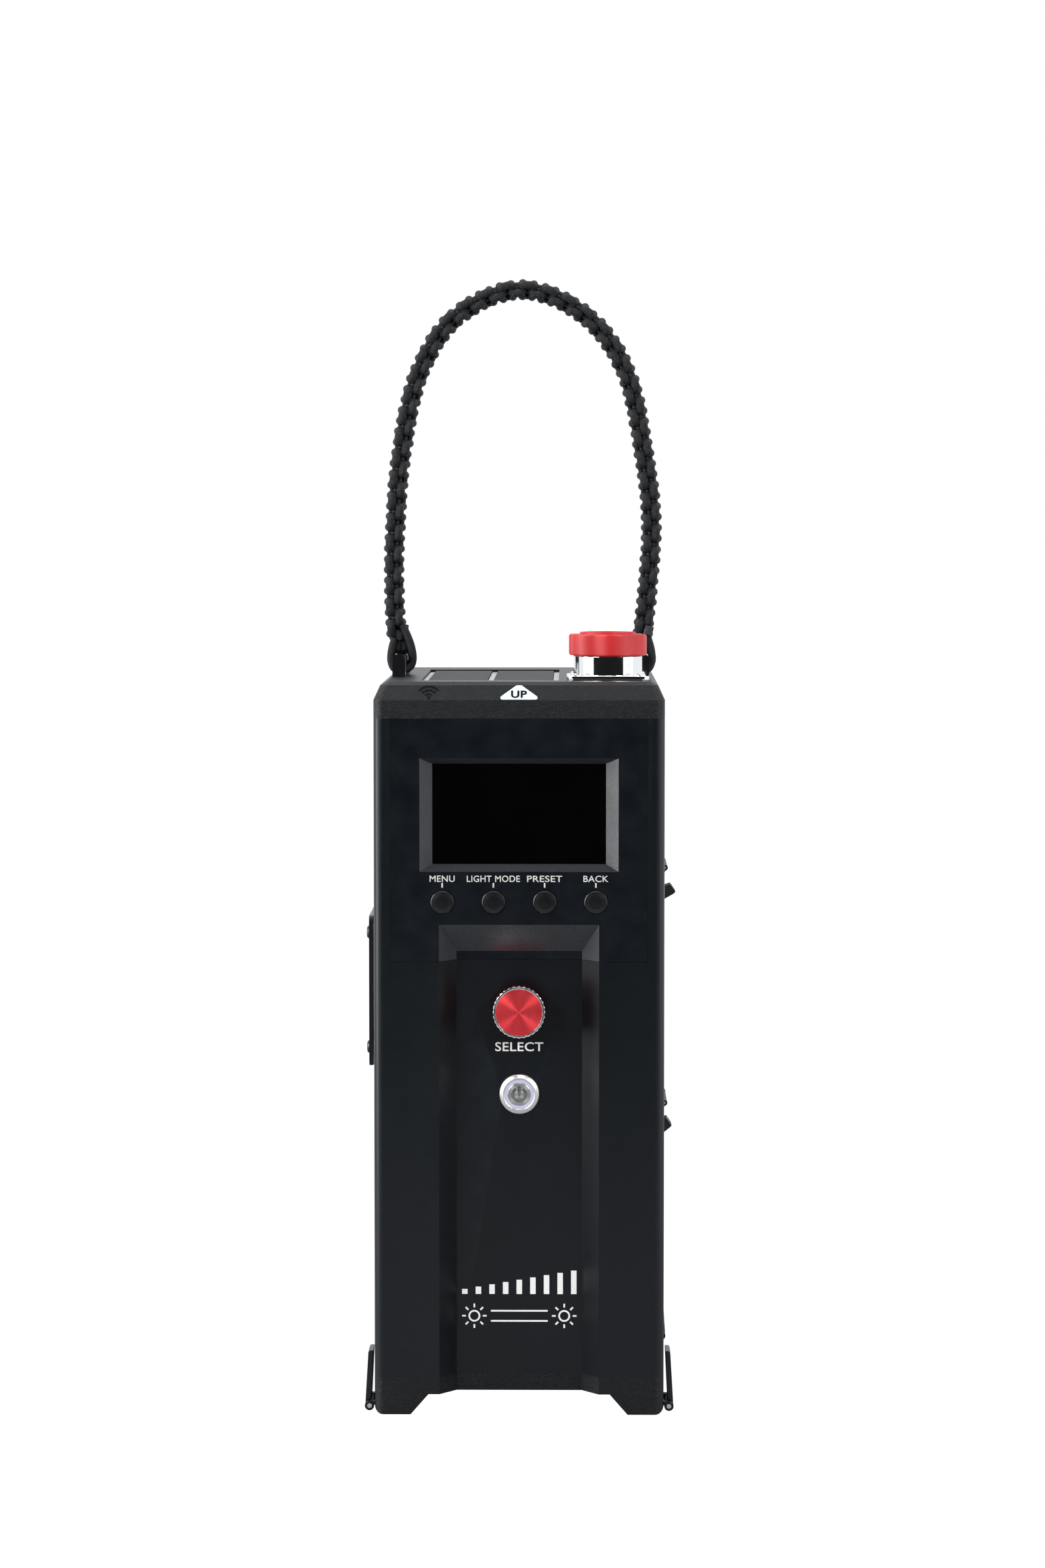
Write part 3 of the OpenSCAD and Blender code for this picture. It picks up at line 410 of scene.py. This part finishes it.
materialOf = {
    "shell_metal": paintedMetal("shellPaint", (0.0018, 0.0034, 0.0052), 0.33),
    "cap_plastic": sparkPlastic("capPlastic", (0.0036, 0.0048, 0.0066)),
    # the panel's second colour is the painted sheen on its slopes
    "panel_plastic": satinWithSlopeSheen("panelSatinSlopeSheen", (0.0018, 0.0034, 0.0058), (0.03, 0.032, 0.037), 0.32),
    "screen_glass": smoothPlastic("screenGloss", (0.0006, 0.0006, 0.0009), 0.05, 0.0, 0.000001),
    "button_plastic": smoothPlastic("buttonSatin", (0.0035, 0.0042, 0.0055), 0.3),
    "chrome": polishedMetal("chromePlate", (0.88, 0.89, 0.9), 0.06),
    "red_metal": spunMetal("redAnodised", (1.0, 0.07, 0.085), 0.38, 620, knobMiddle, 0.000006, 0.9,
                           0.75),
    "steel": spunMetal("turnedSteel", (0.86, 0.86, 0.85), 0.34, 600, switchMiddle, 0.000004, 0.8),
    "light_ring": smoothPlastic("paleRing", (0.5, 0.5, 0.66), 0.3),
    "badge": printInk("badgePrint", (0.74, 0.84, 0.96), 0.4),
    "gloss_black": smoothPlastic("lugGloss", (0.006, 0.006, 0.007), 0.2, 0.3),
    "cord": braidedNylon("cordNylon", (0.0062, 0.0068, 0.0082)),
    "pad_rubber": sparkPlastic("padGrain", (0.012, 0.012, 0.0135), 0.5),
    "red_rubber": smoothPlastic("redRubber", (0.5, 0.018, 0.02), 0.42, 0, 0.00002),
    "black_metal": paintedMetal("blackMetal", (0.009, 0.009, 0.0105), 0.3),
    "port_rubber": smoothPlastic("portRubber", (0.010, 0.010, 0.011), 0.5),
    "foot_rubber": smoothPlastic("footRubber", (0.01, 0.01, 0.01), 0.7),
    "screw_black": polishedMetal("screwBlack", (0.07, 0.07, 0.075), 0.3),
    "zinc": polishedMetal("zincPlate", (0.55, 0.56, 0.58), 0.28),
}
whiteInk = printInk("whiteInk", (0.96, 0.96, 0.94))
paleInk = printInk("paleInk", (0.66, 0.64, 0.61))
# darker metal for a flat mark: painted shade of an engraved groove
grooveShadeMetal = polishedMetal("grooveShadeMetal", (0.3, 0.3, 0.3), 0.4)
darkInk = printInk("darkInk", (0.003, 0.003, 0.004), 0.5, 0.12)
subparts = {s["node"]: s["material_slot"] for s in frame["record"]["subparts"]}
slotColors = {m["slot"]: m["base_color"][:3] for m in frame["record"]["materials"]}


# fine-blasted plating; the knob's sides turn red behind its knurled front band
knobPlate = dict(band=4.2, sides=(0.9, 0.02, 0.03), front=(0.93, 0.93, 0.93))
softFinish = {
    "knob_rim": twoTone("knobPlate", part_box("knob_rim")[0].y + knobPlate["band"] * mm,
                        knobPlate["sides"], knobPlate["front"]),
    "switch_housing": polishedMetal("satinChrome", (0.9, 0.9, 0.91), 0.3),
}


def dressNodes():
    for name, thing in nodes.items():
        slot = subparts[name]
        if slot not in materialOf:
            materialOf[slot] = smoothPlastic(slot, tuple(slotColors[slot]), 0.45)
        thing.data.materials.clear()
        thing.data.materials.append(softFinish.get(name, materialOf[slot]))


dressNodes()
print("materials on")


# rounded edges on the carried-over parts

# gentler edges than this stay as they are, in degrees
keepAngle = {"top_cap": 14, "front_panel": 20, "body_shell": 25}
edgeRounding = {  # radius in mm
    "body_shell": 0.5, "top_cap": 0.35, "bottom_cap": 0.5, "front_panel": 0.3, "rear_panel": 0.25,
    "knob_rim": 0.12, "switch_housing": 0.15, "handle_lugs": 0.4, "mount_plate": 0.35,
    "port_cover_upper": 0.35, "port_cover_lower": 0.35, "corner_foot_front_left": 0.3,
    "corner_foot_front_right": 0.3, "corner_foot_rear_left": 0.3, "corner_foot_rear_right": 0.3,
    "rubber_feet": 0.4, "output_socket": 0.25, "socket_cap": 0.6, "tray_pads": 0.3,
    "mains_inlet": 0.3, "arrow_badge": 0.06,
}


def roundEdges(name, radius):
    thing = nodes[name]
    weld = thing.modifiers.new("weld", "WELD")
    weld.merge_threshold = 0.002 * mm
    bevel = thing.modifiers.new("bevel", "BEVEL")
    bevel.width = radius * mm
    bevel.segments = 2
    bevel.limit_method = "ANGLE"
    bevel.angle_limit = math.radians(keepAngle.get(name, 38))
    bevel.use_clamp_overlap = True
    for face in thing.data.polygons:
        face.use_smooth = True
    even = thing.modifiers.new("even", "WEIGHTED_NORMAL")
    even.mode = "FACE_AREA"
    even.weight = 50


for name, radius in edgeRounding.items():
    roundEdges(name, radius)
print("edges rounded")


# shared mesh helpers

def makePiece(name, points, faces, material, body, smooth=False):
    mesh = bpy.data.meshes.new(name)
    mesh.from_pydata([tuple(p) for p in points], [], faces)
    mesh.materials.append(material)
    for face in mesh.polygons:
        face.use_smooth = smooth
    mesh.update()
    piece = bpy.data.objects.new(name, mesh)
    bpy.context.collection.objects.link(piece)
    if body:
        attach(piece, body)
    return piece


def surfaceTree(name):
    thing = nodes[name]
    return BVHTree.FromPolygons([v.co for v in thing.data.vertices],
                                [tuple(p.vertices) for p in thing.data.polygons])


def looseBoxes(name):
    # lowest and highest corner of each separate solid of a node
    work = bmesh.new()
    work.from_mesh(nodes[name].data)
    bmesh.ops.remove_doubles(work, verts=work.verts, dist=0.001 * mm)
    left = set(work.verts)
    boxes = []
    while left:
        queue = [left.pop()]
        low, high = queue[0].co.copy(), queue[0].co.copy()
        while queue:
            at = queue.pop()
            low = Vector(map(min, low, at.co))
            high = Vector(map(max, high, at.co))
            for edge in at.link_edges:
                other = edge.other_vert(at)
                if other in left:
                    left.remove(other)
                    queue.append(other)
        boxes.append((low, high))
    work.free()
    return sorted(boxes, key=lambda b: tuple(round(c, 5) for c in b[0]))


# printed legends and marks

legends = dict(capHeight=3.0, top=254.75, gap=23.9, lift=0.04, bold=0.012,
               words=[("MENU", 11.7), ("LIGHT MODE", 24.8), ("PRESET", 16.4), ("BACK", 11.7)],
               tickWidth=0.75, tickBottom=249.1, tickTop=251.3)
selectWord = dict(word="SELECT", width=22.6, height=4.3, middle=173.2, bold=0.012)


def wordMesh(word, width, height, bold):
    # flat letters as points in X and Z and faces, with the middle of the bottom line at 0, 0
    curve = bpy.data.curves.new("word", "FONT")
    curve.body = word
    curve.offset = bold
    curve.space_character = 1.06
    curve.resolution_u = 6
    holder = bpy.data.objects.new("word", curve)
    bpy.context.collection.objects.link(holder)
    made = bpy.data.meshes.new_from_object(
        holder.evaluated_get(bpy.context.evaluated_depsgraph_get()))
    xs = [v.co.x for v in made.vertices]
    ys = [v.co.y for v in made.vertices]
    wide, tall = max(xs) - min(xs), max(ys) - min(ys)
    points = [((v.co.x - min(xs)) / wide * width - width / 2, (v.co.y - min(ys)) / tall * height)
              for v in made.vertices]
    faces = [tuple(p.vertices) for p in made.polygons]
    bpy.data.objects.remove(holder)
    bpy.data.curves.remove(curve)
    bpy.data.meshes.remove(made)
    return points, faces


def bar(x, z, wide, tall):
    return [(x - wide / 2, z), (x + wide / 2, z), (x + wide / 2, z + tall), (x - wide / 2, z + tall)]


class FlatPrint:
    # gathers flat shapes in X and Z (mm) that are printed on a wall facing the front
    def __init__(self):
        self.points, self.faces = [], []

    def add(self, points, faces=None):
        start = len(self.points)
        self.points += points
        self.faces += [tuple(start + i for i in face) for face in (faces or [range(len(points))])]

    def addWord(self, x, z, word, width, height, bold):
        points, faces = wordMesh(word, width, height, bold)
        self.add([(x + px, z + pz) for px, pz in points], faces)

    def addArc(self, x, z, radius, wide, start, stop, steps=24):
        turn = [math.radians(start + (stop - start) * i / steps) for i in range(steps + 1)]
        inner, outer = ([(x + r * math.cos(a), z + r * math.sin(a)) for a in turn]
                        for r in (radius - wide / 2, radius + wide / 2))
        count = steps + 1
        self.add(inner + outer, [(i, count + i, count + i + 1, i + 1) for i in range(steps)])

    def make(self, name, front, material, body):
        points = [(x * mm, front, z * mm) for x, z in self.points]
        return makePiece(name, points, self.faces, material, body)


def frontOf(name, x, z):
    hit = surfaceTree(name).ray_cast(Vector((x * mm, -1, z * mm)), Vector((0, 1, 0)))
    return hit[0].y


def makeLegends():
    ink = FlatPrint()
    for i, (word, width) in enumerate(legends["words"]):
        x = (i - (len(legends["words"]) - 1) / 2) * legends["gap"]
        ink.addWord(x, legends["top"] - legends["capHeight"], word, width, legends["capHeight"],
                    legends["bold"])
        ink.add(bar(x, legends["tickBottom"], legends["tickWidth"],
                    legends["tickTop"] - legends["tickBottom"]))
    front = frontOf("front_panel", legends["gap"], legends["top"]) - legends["lift"] * mm
    ink.make("buttonLegends", front, paleInk, "chassis")


def makeSelectLegend():
    ink = FlatPrint()
    ink.addWord(0, selectWord["middle"] - selectWord["height"] / 2, selectWord["word"],
                selectWord["width"], selectWord["height"], selectWord["bold"])
    front = frontOf("body_shell", 0, selectWord["middle"]) - legends["lift"] * mm
    ink.make("selectLegend", front, whiteInk, "chassis")


# a generic brightness scale fills the place of the printed name
scaleMark = dict(left=-27, right=27, bottom=39, top=67, bars=9, barWidth=2.6, lowest=2.4, highest=11.2,
                 rowGap=5.2, rowLift=0.6, lineGap=2, lineRise=2.4, line=0.8, sunRadius=2.4,
                 rayStart=4.0, rayStop=5.8, rays=8)


def addSun(ink, x, z, s):
    ink.addArc(x, z, s["sunRadius"], s["line"], 0, 360, 36)
    for i in range(s["rays"]):
        a = 2 * math.pi * i / s["rays"]
        side = (-math.sin(a) * s["line"] / 2, math.cos(a) * s["line"] / 2)
        near = (x + s["rayStart"] * math.cos(a), z + s["rayStart"] * math.sin(a))
        far = (x + s["rayStop"] * math.cos(a), z + s["rayStop"] * math.sin(a))
        ink.add([(near[0] - side[0], near[1] - side[1]), (far[0] - side[0], far[1] - side[1]),
                 (far[0] + side[0], far[1] + side[1]), (near[0] + side[0], near[1] + side[1])])


def makeScaleMark():
    s = scaleMark
    ink = FlatPrint()
    upper = s["top"] - s["highest"]
    step = (s["right"] - s["left"] - s["barWidth"]) / (s["bars"] - 1)
    for i in range(s["bars"]):
        x = s["left"] + s["barWidth"] / 2 + i * step
        tall = s["lowest"] + (s["highest"] - s["lowest"]) * i / (s["bars"] - 1)
        ink.add(bar(x, upper, s["barWidth"], tall))
    middle = (s["bottom"] + upper - s["rowGap"]) / 2 + s["rowLift"]
    for x in (s["left"] + s["rayStop"], s["right"] - s["rayStop"]):
        addSun(ink, x, middle, s)
    reach = s["right"] - 2 * s["rayStop"] - s["lineGap"]
    for rise in (-s["lineRise"], s["lineRise"]):
        ink.add(bar(0, middle + rise - s["line"] / 2, 2 * reach, s["line"]))
    front = frontOf("body_shell", 0, middle) - legends["lift"] * mm
    ink.make("brightnessScale", front, whiteInk, "chassis")


powerMark = dict(radius=3.0, line=0.9, gap=36, barTop=3.7, barBottom=-0.3, rim=0.16)


def makePowerMark():
    # a bright rim under a slightly narrower flat groove mark, whose darker metal is painted shade of an
    # engraved groove
    p = powerMark
    low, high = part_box("power_button")
    z = (low.z + high.z) / 2 / mm
    for name, grow, lift, material in (("powerRim", p["rim"], 0.02, materialOf["chrome"]),
                                       ("powerMark", 0, 0.04, grooveShadeMetal)):
        ink = FlatPrint()
        spread = math.degrees(grow / p["radius"])
        wide = p["line"] + 2 * grow
        ink.addArc(0, z, p["radius"], wide, 90 + p["gap"] - spread, 450 - p["gap"] + spread, 32)
        ink.add(bar(0, z + p["barBottom"] - grow, wide, p["barTop"] - p["barBottom"] + 2 * grow))
        ink.make(name, low.y - lift * mm, material, "power_switch")


def slopeFrame(x, z):
    # a point on the top cap's front slope, with the directions up and out of it
    hit, normal, _, _ = surfaceTree("top_cap").ray_cast(Vector((x * mm, -1, z * mm)), Vector((0, 1, 0)))
    return hit, normal.cross(Vector((1, 0, 0))).normalized(), normal


capMarks = dict(wirelessX=-42, badgeX=0, height=340, upWord="UP", upWidth=7.4, upHeight=3.7,
                arcs=[1.9, 3.8, 5.7], dot=0.75, arcWide=0.85, spread=52)


def layOnSlope(ink, x, lift, name, material):
    at, up, out = slopeFrame(x, capMarks["height"])
    if up.z < 0:
        up = -up
    points = [at + Vector((px * mm, 0, 0)) + up * pz * mm + out * lift * mm for px, pz in ink.points]
    return makePiece(name, points, ink.faces, material, "chassis")


def makeCapMarks():
    c = capMarks
    waves = FlatPrint()
    for radius in c["arcs"]:
        waves.addArc(0, -2.6, radius, c["arcWide"], 90 - c["spread"], 90 + c["spread"], 18)
    waves.addArc(0, -2.6, c["dot"] / 2, c["dot"], 0, 360, 18)
    icon = layOnSlope(waves, c["wirelessX"], 0.1, "wirelessIcon", darkInk)
    raised = icon.modifiers.new("raised", "SOLIDIFY")
    raised.thickness = 0.2 * mm
    raised.offset = 0
    letters = FlatPrint()
    letters.addWord(0, -c["upHeight"] / 2 - 0.9, c["upWord"], c["upWidth"], c["upHeight"], 0.03)
    layOnSlope(letters, c["badgeX"], 0.42, "upLetters", darkInk)


makeLegends()
makeSelectLegend()
makeScaleMark()
makePowerMark()
makeCapMarks()
print("legends printed")


# screws with real drives, in place of the plain ones

screwKinds = dict(
    socket_screws=dict(axis=(0, 0, 1), head=2.6, rise=1.5, drive="hex", recess=1.3, deep=1.1,
                       material="chrome"),
    plate_screws=dict(axis=(-1, 0, 0), head=3.2, rise=1.7, drive="hex", recess=1.5, deep=1.2,
                      material="screw_black"),
    rear_screws=dict(axis=(0, 1, 0), head=2.9, rise=1.5, drive="cross", recess=1.7, deep=0.9,
                     material="screw_black"))
screwShape = dict(steps=48, shoulder=0.55, crossArm=0.3, shankShare=0.5)


def outline(kind, radius, turn):
    # distance from the middle to the edge of a round, six-sided or cross-shaped ring
    if kind == "hex":
        return radius * math.cos(math.pi / 6) / math.cos((turn + math.pi / 6) % (math.pi / 3) - math.pi / 6)
    if kind == "cross":
        quarter = abs((turn + math.pi / 4) % (math.pi / 2) - math.pi / 4)
        arm = radius * screwShape["crossArm"]
        return min(radius, arm / max(math.sin(quarter), 0.0001)) if quarter > 0.01 else radius
    return radius


def ringStack(rings, at, axis):
    # rings of points (kind, radius, height) along an axis, joined by walls and closed at both ends
    out = Vector(axis)
    side = out.orthogonal().normalized()
    other = out.cross(side)
    steps = screwShape["steps"]
    points, faces = [], []
    for kind, radius, height in rings:
        for k in range(steps):
            turn = 2 * math.pi * k / steps
            r = outline(kind, radius, turn)
            spoke = side * math.cos(turn) + other * math.sin(turn)
            points.append(at + spoke * r * mm + out * height * mm)
    for i in range(len(rings) - 1):
        for k in range(steps):
            n = (k + 1) % steps
            faces.append((i * steps + k, i * steps + n, (i + 1) * steps + n, (i + 1) * steps + k))
    faces.append(tuple(range(steps - 1, -1, -1)))
    faces.append(tuple((len(rings) - 1) * steps + k for k in range(steps)))
    return points, faces


def makeScrews(name, kind):
    axis = Vector(kind["axis"])
    points, faces = [], []
    for low, high in looseBoxes(name):
        middle = (low + high) / 2
        reach = (high - low).dot(Vector(map(abs, axis)))
        seat = middle + axis * (reach / 2 - kind["rise"] * mm)
        r, rise = kind["head"], kind["rise"]
        tip = rise - reach / mm
        shank, drive, recess = r * screwShape["shankShare"], kind["drive"], kind["recess"]
        # from the shank's tip over the domed head into the drive's floor
        rings = [("round", shank, tip), ("round", shank, 0), ("round", r, 0), ("round", r, rise * 0.35),
                 ("round", r * 0.93, rise * screwShape["shoulder"] + 0.2), ("round", r * 0.78, rise * 0.93),
                 ("round", recess * 1.12, rise), (drive, recess, rise - 0.04),
                 (drive, recess * 0.9, rise - kind["deep"]), ("round", 0.1, rise - kind["deep"] * 1.1)]
        ring, walls = ringStack(rings, seat, axis)
        start = len(points)
        points += ring
        faces += [tuple(start + i for i in wall) for wall in walls]
    piece = makePiece(name.replace("_s", "S"), points, faces, materialOf[kind["material"]], "chassis",
                      smooth=True)
    edges = piece.modifiers.new("edges", "BEVEL")
    edges.width = 0.08 * mm
    edges.segments = 2
    edges.limit_method = "ANGLE"
    even = piece.modifiers.new("even", "WEIGHTED_NORMAL")
    even.mode = "FACE_AREA"
    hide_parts(name)


for name, kind in screwKinds.items():
    makeScrews(name, kind)
print("screws fitted")


# smooth strips that show between the grained pads of the top tray

traySeam = dict(lift=0.06, thick=0.5, wide=3.2, inset=0.15, round=0.12)


def makeTraySeams():
    pads = looseBoxes("tray_pads")
    low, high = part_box("tray_pads")
    t = traySeam
    gaps = [(pads[0][1].x, pads[1][0].x), (low.x - t["wide"] * mm, low.x),
            (high.x, high.x + t["wide"] * mm)]
    points, faces = [], []
    for left, right in gaps:
        x0, x1 = left + t["inset"] * mm, right - t["inset"] * mm
        y0, y1 = low.y, high.y
        z0, z1 = low.z + t["lift"] * mm, low.z + t["thick"] * mm
        start = len(points)
        points += [(x, y, z) for z in (z0, z1) for x, y in ((x0, y0), (x1, y0), (x1, y1), (x0, y1))]
        faces += [tuple(start + i for i in f) for f in
                  ((3, 2, 1, 0), (4, 5, 6, 7), (0, 1, 5, 4), (1, 2, 6, 5), (2, 3, 7, 6), (3, 0, 4, 7))]
    strips = makePiece("traySeams", points, faces, smoothPlastic("seamSatin", (0.3, 0.3, 0.31), 0.25),
                       "chassis")
    edges = strips.modifiers.new("edges", "BEVEL")
    edges.width = t["round"] * mm
    edges.segments = 2


makeTraySeams()
print("tray lined")


# braided handle

handle = dict(
    route=[(-60.8, 360), (-62, 382), (-61.8, 412), (-58.5, 453), (-49.7, 492), (-31, 519.5), (0, 532),
           (31, 519.5), (50.9, 492), (59.6, 453), (63.3, 420), (61.6, 388), (58.6, 360)],
    pitch=10.2, halfWidth=7.6, margin=2.5, strand=2.0, perSpan=4, sides=12, taper=12,
    neckShare=0.42, wobble=0.16,
    cores=(-3.6, 0, 3.6), coreRadius=1.7, coreStep=3.0, blendFrom=0.3605, blendTo=0.3735,
    # half a pitch of one strand: share of the half width across, outward, and distance along
    path=[(1.0, 2.0, 0.0), (0.95, 1.85, 2.15), (0.62, -0.9, 3.0), (0.28, -2.9, 2.65),
          (-0.28, -2.9, 2.45), (-0.62, -0.9, 2.1), (-0.95, 1.85, 2.95)])


def smoothRoute(points, step):
    # evenly spaced points, in mm, on a smooth curve through the route
    fine = smooth3(points, 60)
    along = [0.0]
    for first, second in zip(fine, fine[1:]):
        along.append(along[-1] + (second - first).length)
    even, at = [], 0
    count = int(along[-1] / step)
    for k in range(count + 1):
        want = along[-1] * k / count
        while at < len(fine) - 2 and along[at + 1] < want:
            at += 1
        share = (want - along[at]) / (along[at + 1] - along[at])
        even.append(fine[at].lerp(fine[at + 1], share))
    return even, along[-1]


def smooth3(points, perSpan=7):
    fine = []
    for i in range(len(points) - 1):
        a, b = Vector(points[max(i - 1, 0)]), Vector(points[i])
        c, d = Vector(points[i + 1]), Vector(points[min(i + 2, len(points) - 1)])
        for k in range(perSpan):
            u = k / perSpan
            fine.append(0.5 * (2 * b + (c - a) * u + (2 * a - 5 * b + 4 * c - d) * u * u
                               + (3 * b - a - 3 * c + d) * u ** 3))
    return fine + [Vector(points[-1])]


class Route:
    # a flat curve in X and Z that strands are laid along
    def __init__(self, points, step=0.5):
        self.points, self.length = smoothRoute(points, step)

    def place(self, s, across, outward):
        t = min(max(s / self.length, 0), 1) * (len(self.points) - 1)
        i = min(int(t), len(self.points) - 2)
        here = self.points[i].lerp(self.points[i + 1], t - i)
        ahead, behind = self.points[min(i + 4, len(self.points) - 1)], self.points[max(i - 3, 0)]
        way = (ahead - behind).normalized()
        over = s - min(max(s, 0), self.length)
        here = here + way * over
        return Vector((here.x - way.y * outward, across, here.y + way.x * outward)) * mm


def tube(points, radius, sides):
    # a closed tube along points, with metres along and around as its UVs
    rings, faces, uvs = [], [], []
    up = Vector((0, 1, 0))
    along = 0.0
    marks = []
    for i, at in enumerate(points):
        way = (points[min(i + 1, len(points) - 1)] - points[max(i - 1, 0)]).normalized()
        side = (up - way * up.dot(way)).normalized()
        up = side
        other = way.cross(side)
        if i:
            along += (at - points[i - 1]).length
        marks.append(along)
        for k in range(sides):
            a = 2 * math.pi * k / sides
            rings.append(at + (side * math.cos(a) + other * math.sin(a)) * radius)
    girth = 2 * math.pi * radius
    for i in range(len(points) - 1):
        for k in range(sides):
            n = (k + 1) % sides
            faces.append((i * sides + k, i * sides + n, (i + 1) * sides + n, (i + 1) * sides + k))
            around, nextAround = girth * k / sides, girth * (k + 1) / sides
            uvs += [(marks[i], around), (marks[i], nextAround),
                    (marks[i + 1], nextAround), (marks[i + 1], around)]
    for end, ring in ((0, range(sides - 1, -1, -1)), (len(points) - 1, range(sides))):
        faces.append(tuple(end * sides + k for k in ring))
        uvs += [(marks[end], girth * k / sides) for k in ring]
    return rings, faces, uvs


def makeCords(name, tubes, body=None):
    points, faces, uvs = [], [], []
    for ring, face, uv in tubes:
        start = len(points)
        points += ring
        faces += [tuple(start + i for i in f) for f in face]
        uvs += uv
    piece = makePiece(name, points, faces, materialOf["cord"], body, smooth=True)
    layer = piece.data.uv_layers.new(name="weave")
    for loop, uv in zip(layer.data, uvs):
        loop.uv = uv
    return piece


def strandPoints(route, h, mirror, chance):
    # one working strand of a square-knot braid; the mirrored one crosses the other face
    side = -1 if mirror else 1
    knotted = route.length - 2 * h["margin"]
    knots = int(2 * knotted / h["pitch"])
    half = knotted / knots
    stretch = 2 * half / h["pitch"]
    marks = []
    for knot in range(knots):
        turn = side if knot % 2 == 0 else -side
        for across, outward, along in h["path"]:
            s = h["margin"] + knot * half + along * stretch
            ease = min(1, max(0, min(s, route.length - s) / h["taper"]))
            share = h["neckShare"] + (1 - h["neckShare"]) * math.sin(ease * math.pi / 2)
            loose = [chance.uniform(-h["wobble"], h["wobble"]) for _ in range(3)]
            marks.append((turn * across * h["halfWidth"] * share + loose[0],
                          side * outward + loose[1], s + loose[2]))
    return [route.place(s, across, outward) for across, outward, s in smooth3(marks, h["perSpan"])]


def makeHandle():
    h = handle
    route = Route(h["route"])
    chance = random.Random(4)
    tubes = [tube(strandPoints(route, h, mirror, chance), h["strand"] * mm, h["sides"])
             for mirror in (False, True)]
    for across in h["cores"]:
        count = int(route.length / h["coreStep"])
        points = []
        for i in range(count + 1):
            s = route.length * i / count
            ease = min(1, min(s, route.length - s) / h["taper"])
            points.append(route.place(s, across * (0.6 + 0.4 * ease), 0))
        tubes.append(tube(points, h["coreRadius"] * mm, h["sides"]))
    braid = makeCords("handleBraid", tubes)
    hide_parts("handle_strap")
    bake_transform(braid)


# loops of cord round the lugs, and the wrap that runs up into the braid
wraps = dict(
    reach=(5.2, 4.35), squareness=2.6, middle=352.85, rings=(-1.6, 2.2, 6.0), lugHalf=3.1,
    perTurn=32, radius=1.9, sides=10,
    wrap=[(-1.6, -3.6, 373), (-0.2, -5.4, 370.5), (1.9, -6.3, 366.8), (3.7, -6.3, 362.8),
          (5.2, -6.0, 358.2), (5.9, -5.6, 353), (4.9, -5.4, 349.3), (2.4, -5.2, 347.6), (-0.6, -5.1, 347.2),
          (-3.3, -5.0, 348.0), (-4.7, -4.9, 350.8), (-4.9, -4.7, 354.6), (-4.2, -4.3, 358.8),
          (-3.0, -3.6, 363), (-2.4, -2.6, 368)],
    risers=[(-1.9, -2.6), (1.7, -2.9), (-1.2, 1.4), (1.5, 3.2)], riserFrom=356.8, riserTo=369)


def ringPoints(w, middle, y):
    # one turn that hugs the square bar over the lug's window
    power = 2 / w["squareness"]
    points = []
    for i in range(w["perTurn"] + 2):
        a = 2 * math.pi * i / w["perTurn"]
        across, rise = (math.copysign(abs(v) ** power, v) for v in (math.sin(a), math.cos(a)))
        points.append(Vector((middle + w["reach"][0] * across, y, w["middle"] + w["reach"][1] * rise)) * mm)
    return points


def makeWraps():
    w = wraps
    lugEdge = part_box("handle_lugs")[1].x / mm
    tubes = []
    for side in (-1, 1):
        middle = side * (lugEdge - w["lugHalf"])
        for y in w["rings"]:
            tubes.append(tube(ringPoints(w, middle, y), w["radius"] * mm, w["sides"]))
        for u, y in w["risers"]:
            line = [(middle - side * u, y, w["riserFrom"]),
                    (middle - side * (u * 0.6 + 0.6), y * 0.8, (w["riserFrom"] + w["riserTo"]) / 2),
                    (middle - side * (u * 0.3 + 1.2), y * 0.6, w["riserTo"])]
            tubes.append(tube([p * mm for p in smooth3(line)], w["radius"] * mm, w["sides"]))
        fine = smooth3([(middle - side * u, y, z) for u, y, z in w["wrap"]])
        tubes.append(tube([p * mm for p in fine], w["radius"] * mm, w["sides"]))
    loops = makeCords("lugLoops", tubes, "chassis")
    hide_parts("handle_loops")


# flat melted end of the cord, pressed against the right leg
meltedEnd = dict(at=(61.9, -7.6, 366.6), size=(4.2, 2.2, 4.6), lean=14, cuts=3, dent=0.35)


def makeMeltedEnd():
    m = meltedEnd
    work = bmesh.new()
    bmesh.ops.create_cube(work, size=1)
    bmesh.ops.subdivide_edges(work, edges=work.edges, cuts=m["cuts"], use_grid_fill=True)
    chance = random.Random(9)
    turn = Matrix.Rotation(math.radians(m["lean"]), 3, "Y")
    for v in work.verts:
        loose = Vector([chance.uniform(-m["dent"], m["dent"]) for _ in range(3)])
        v.co = (turn @ (Vector(a * b for a, b in zip(v.co, m["size"])) + loose) + Vector(m["at"])) * mm
    mesh = bpy.data.meshes.new("meltedEnd")
    work.to_mesh(mesh)
    work.free()
    end = makePiece("meltedEnd", [v.co for v in mesh.vertices],
                    [tuple(f.vertices) for f in mesh.polygons],
                    smoothPlastic("meltedNylon", (0.035, 0.036, 0.04), 0.42), None,
                    smooth=True)
    soft = end.modifiers.new("soft", "SUBSURF")
    soft.levels = soft.render_levels = 2
    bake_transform(end)


makeHandle()
makeWraps()
makeMeltedEnd()
print("handle braided")
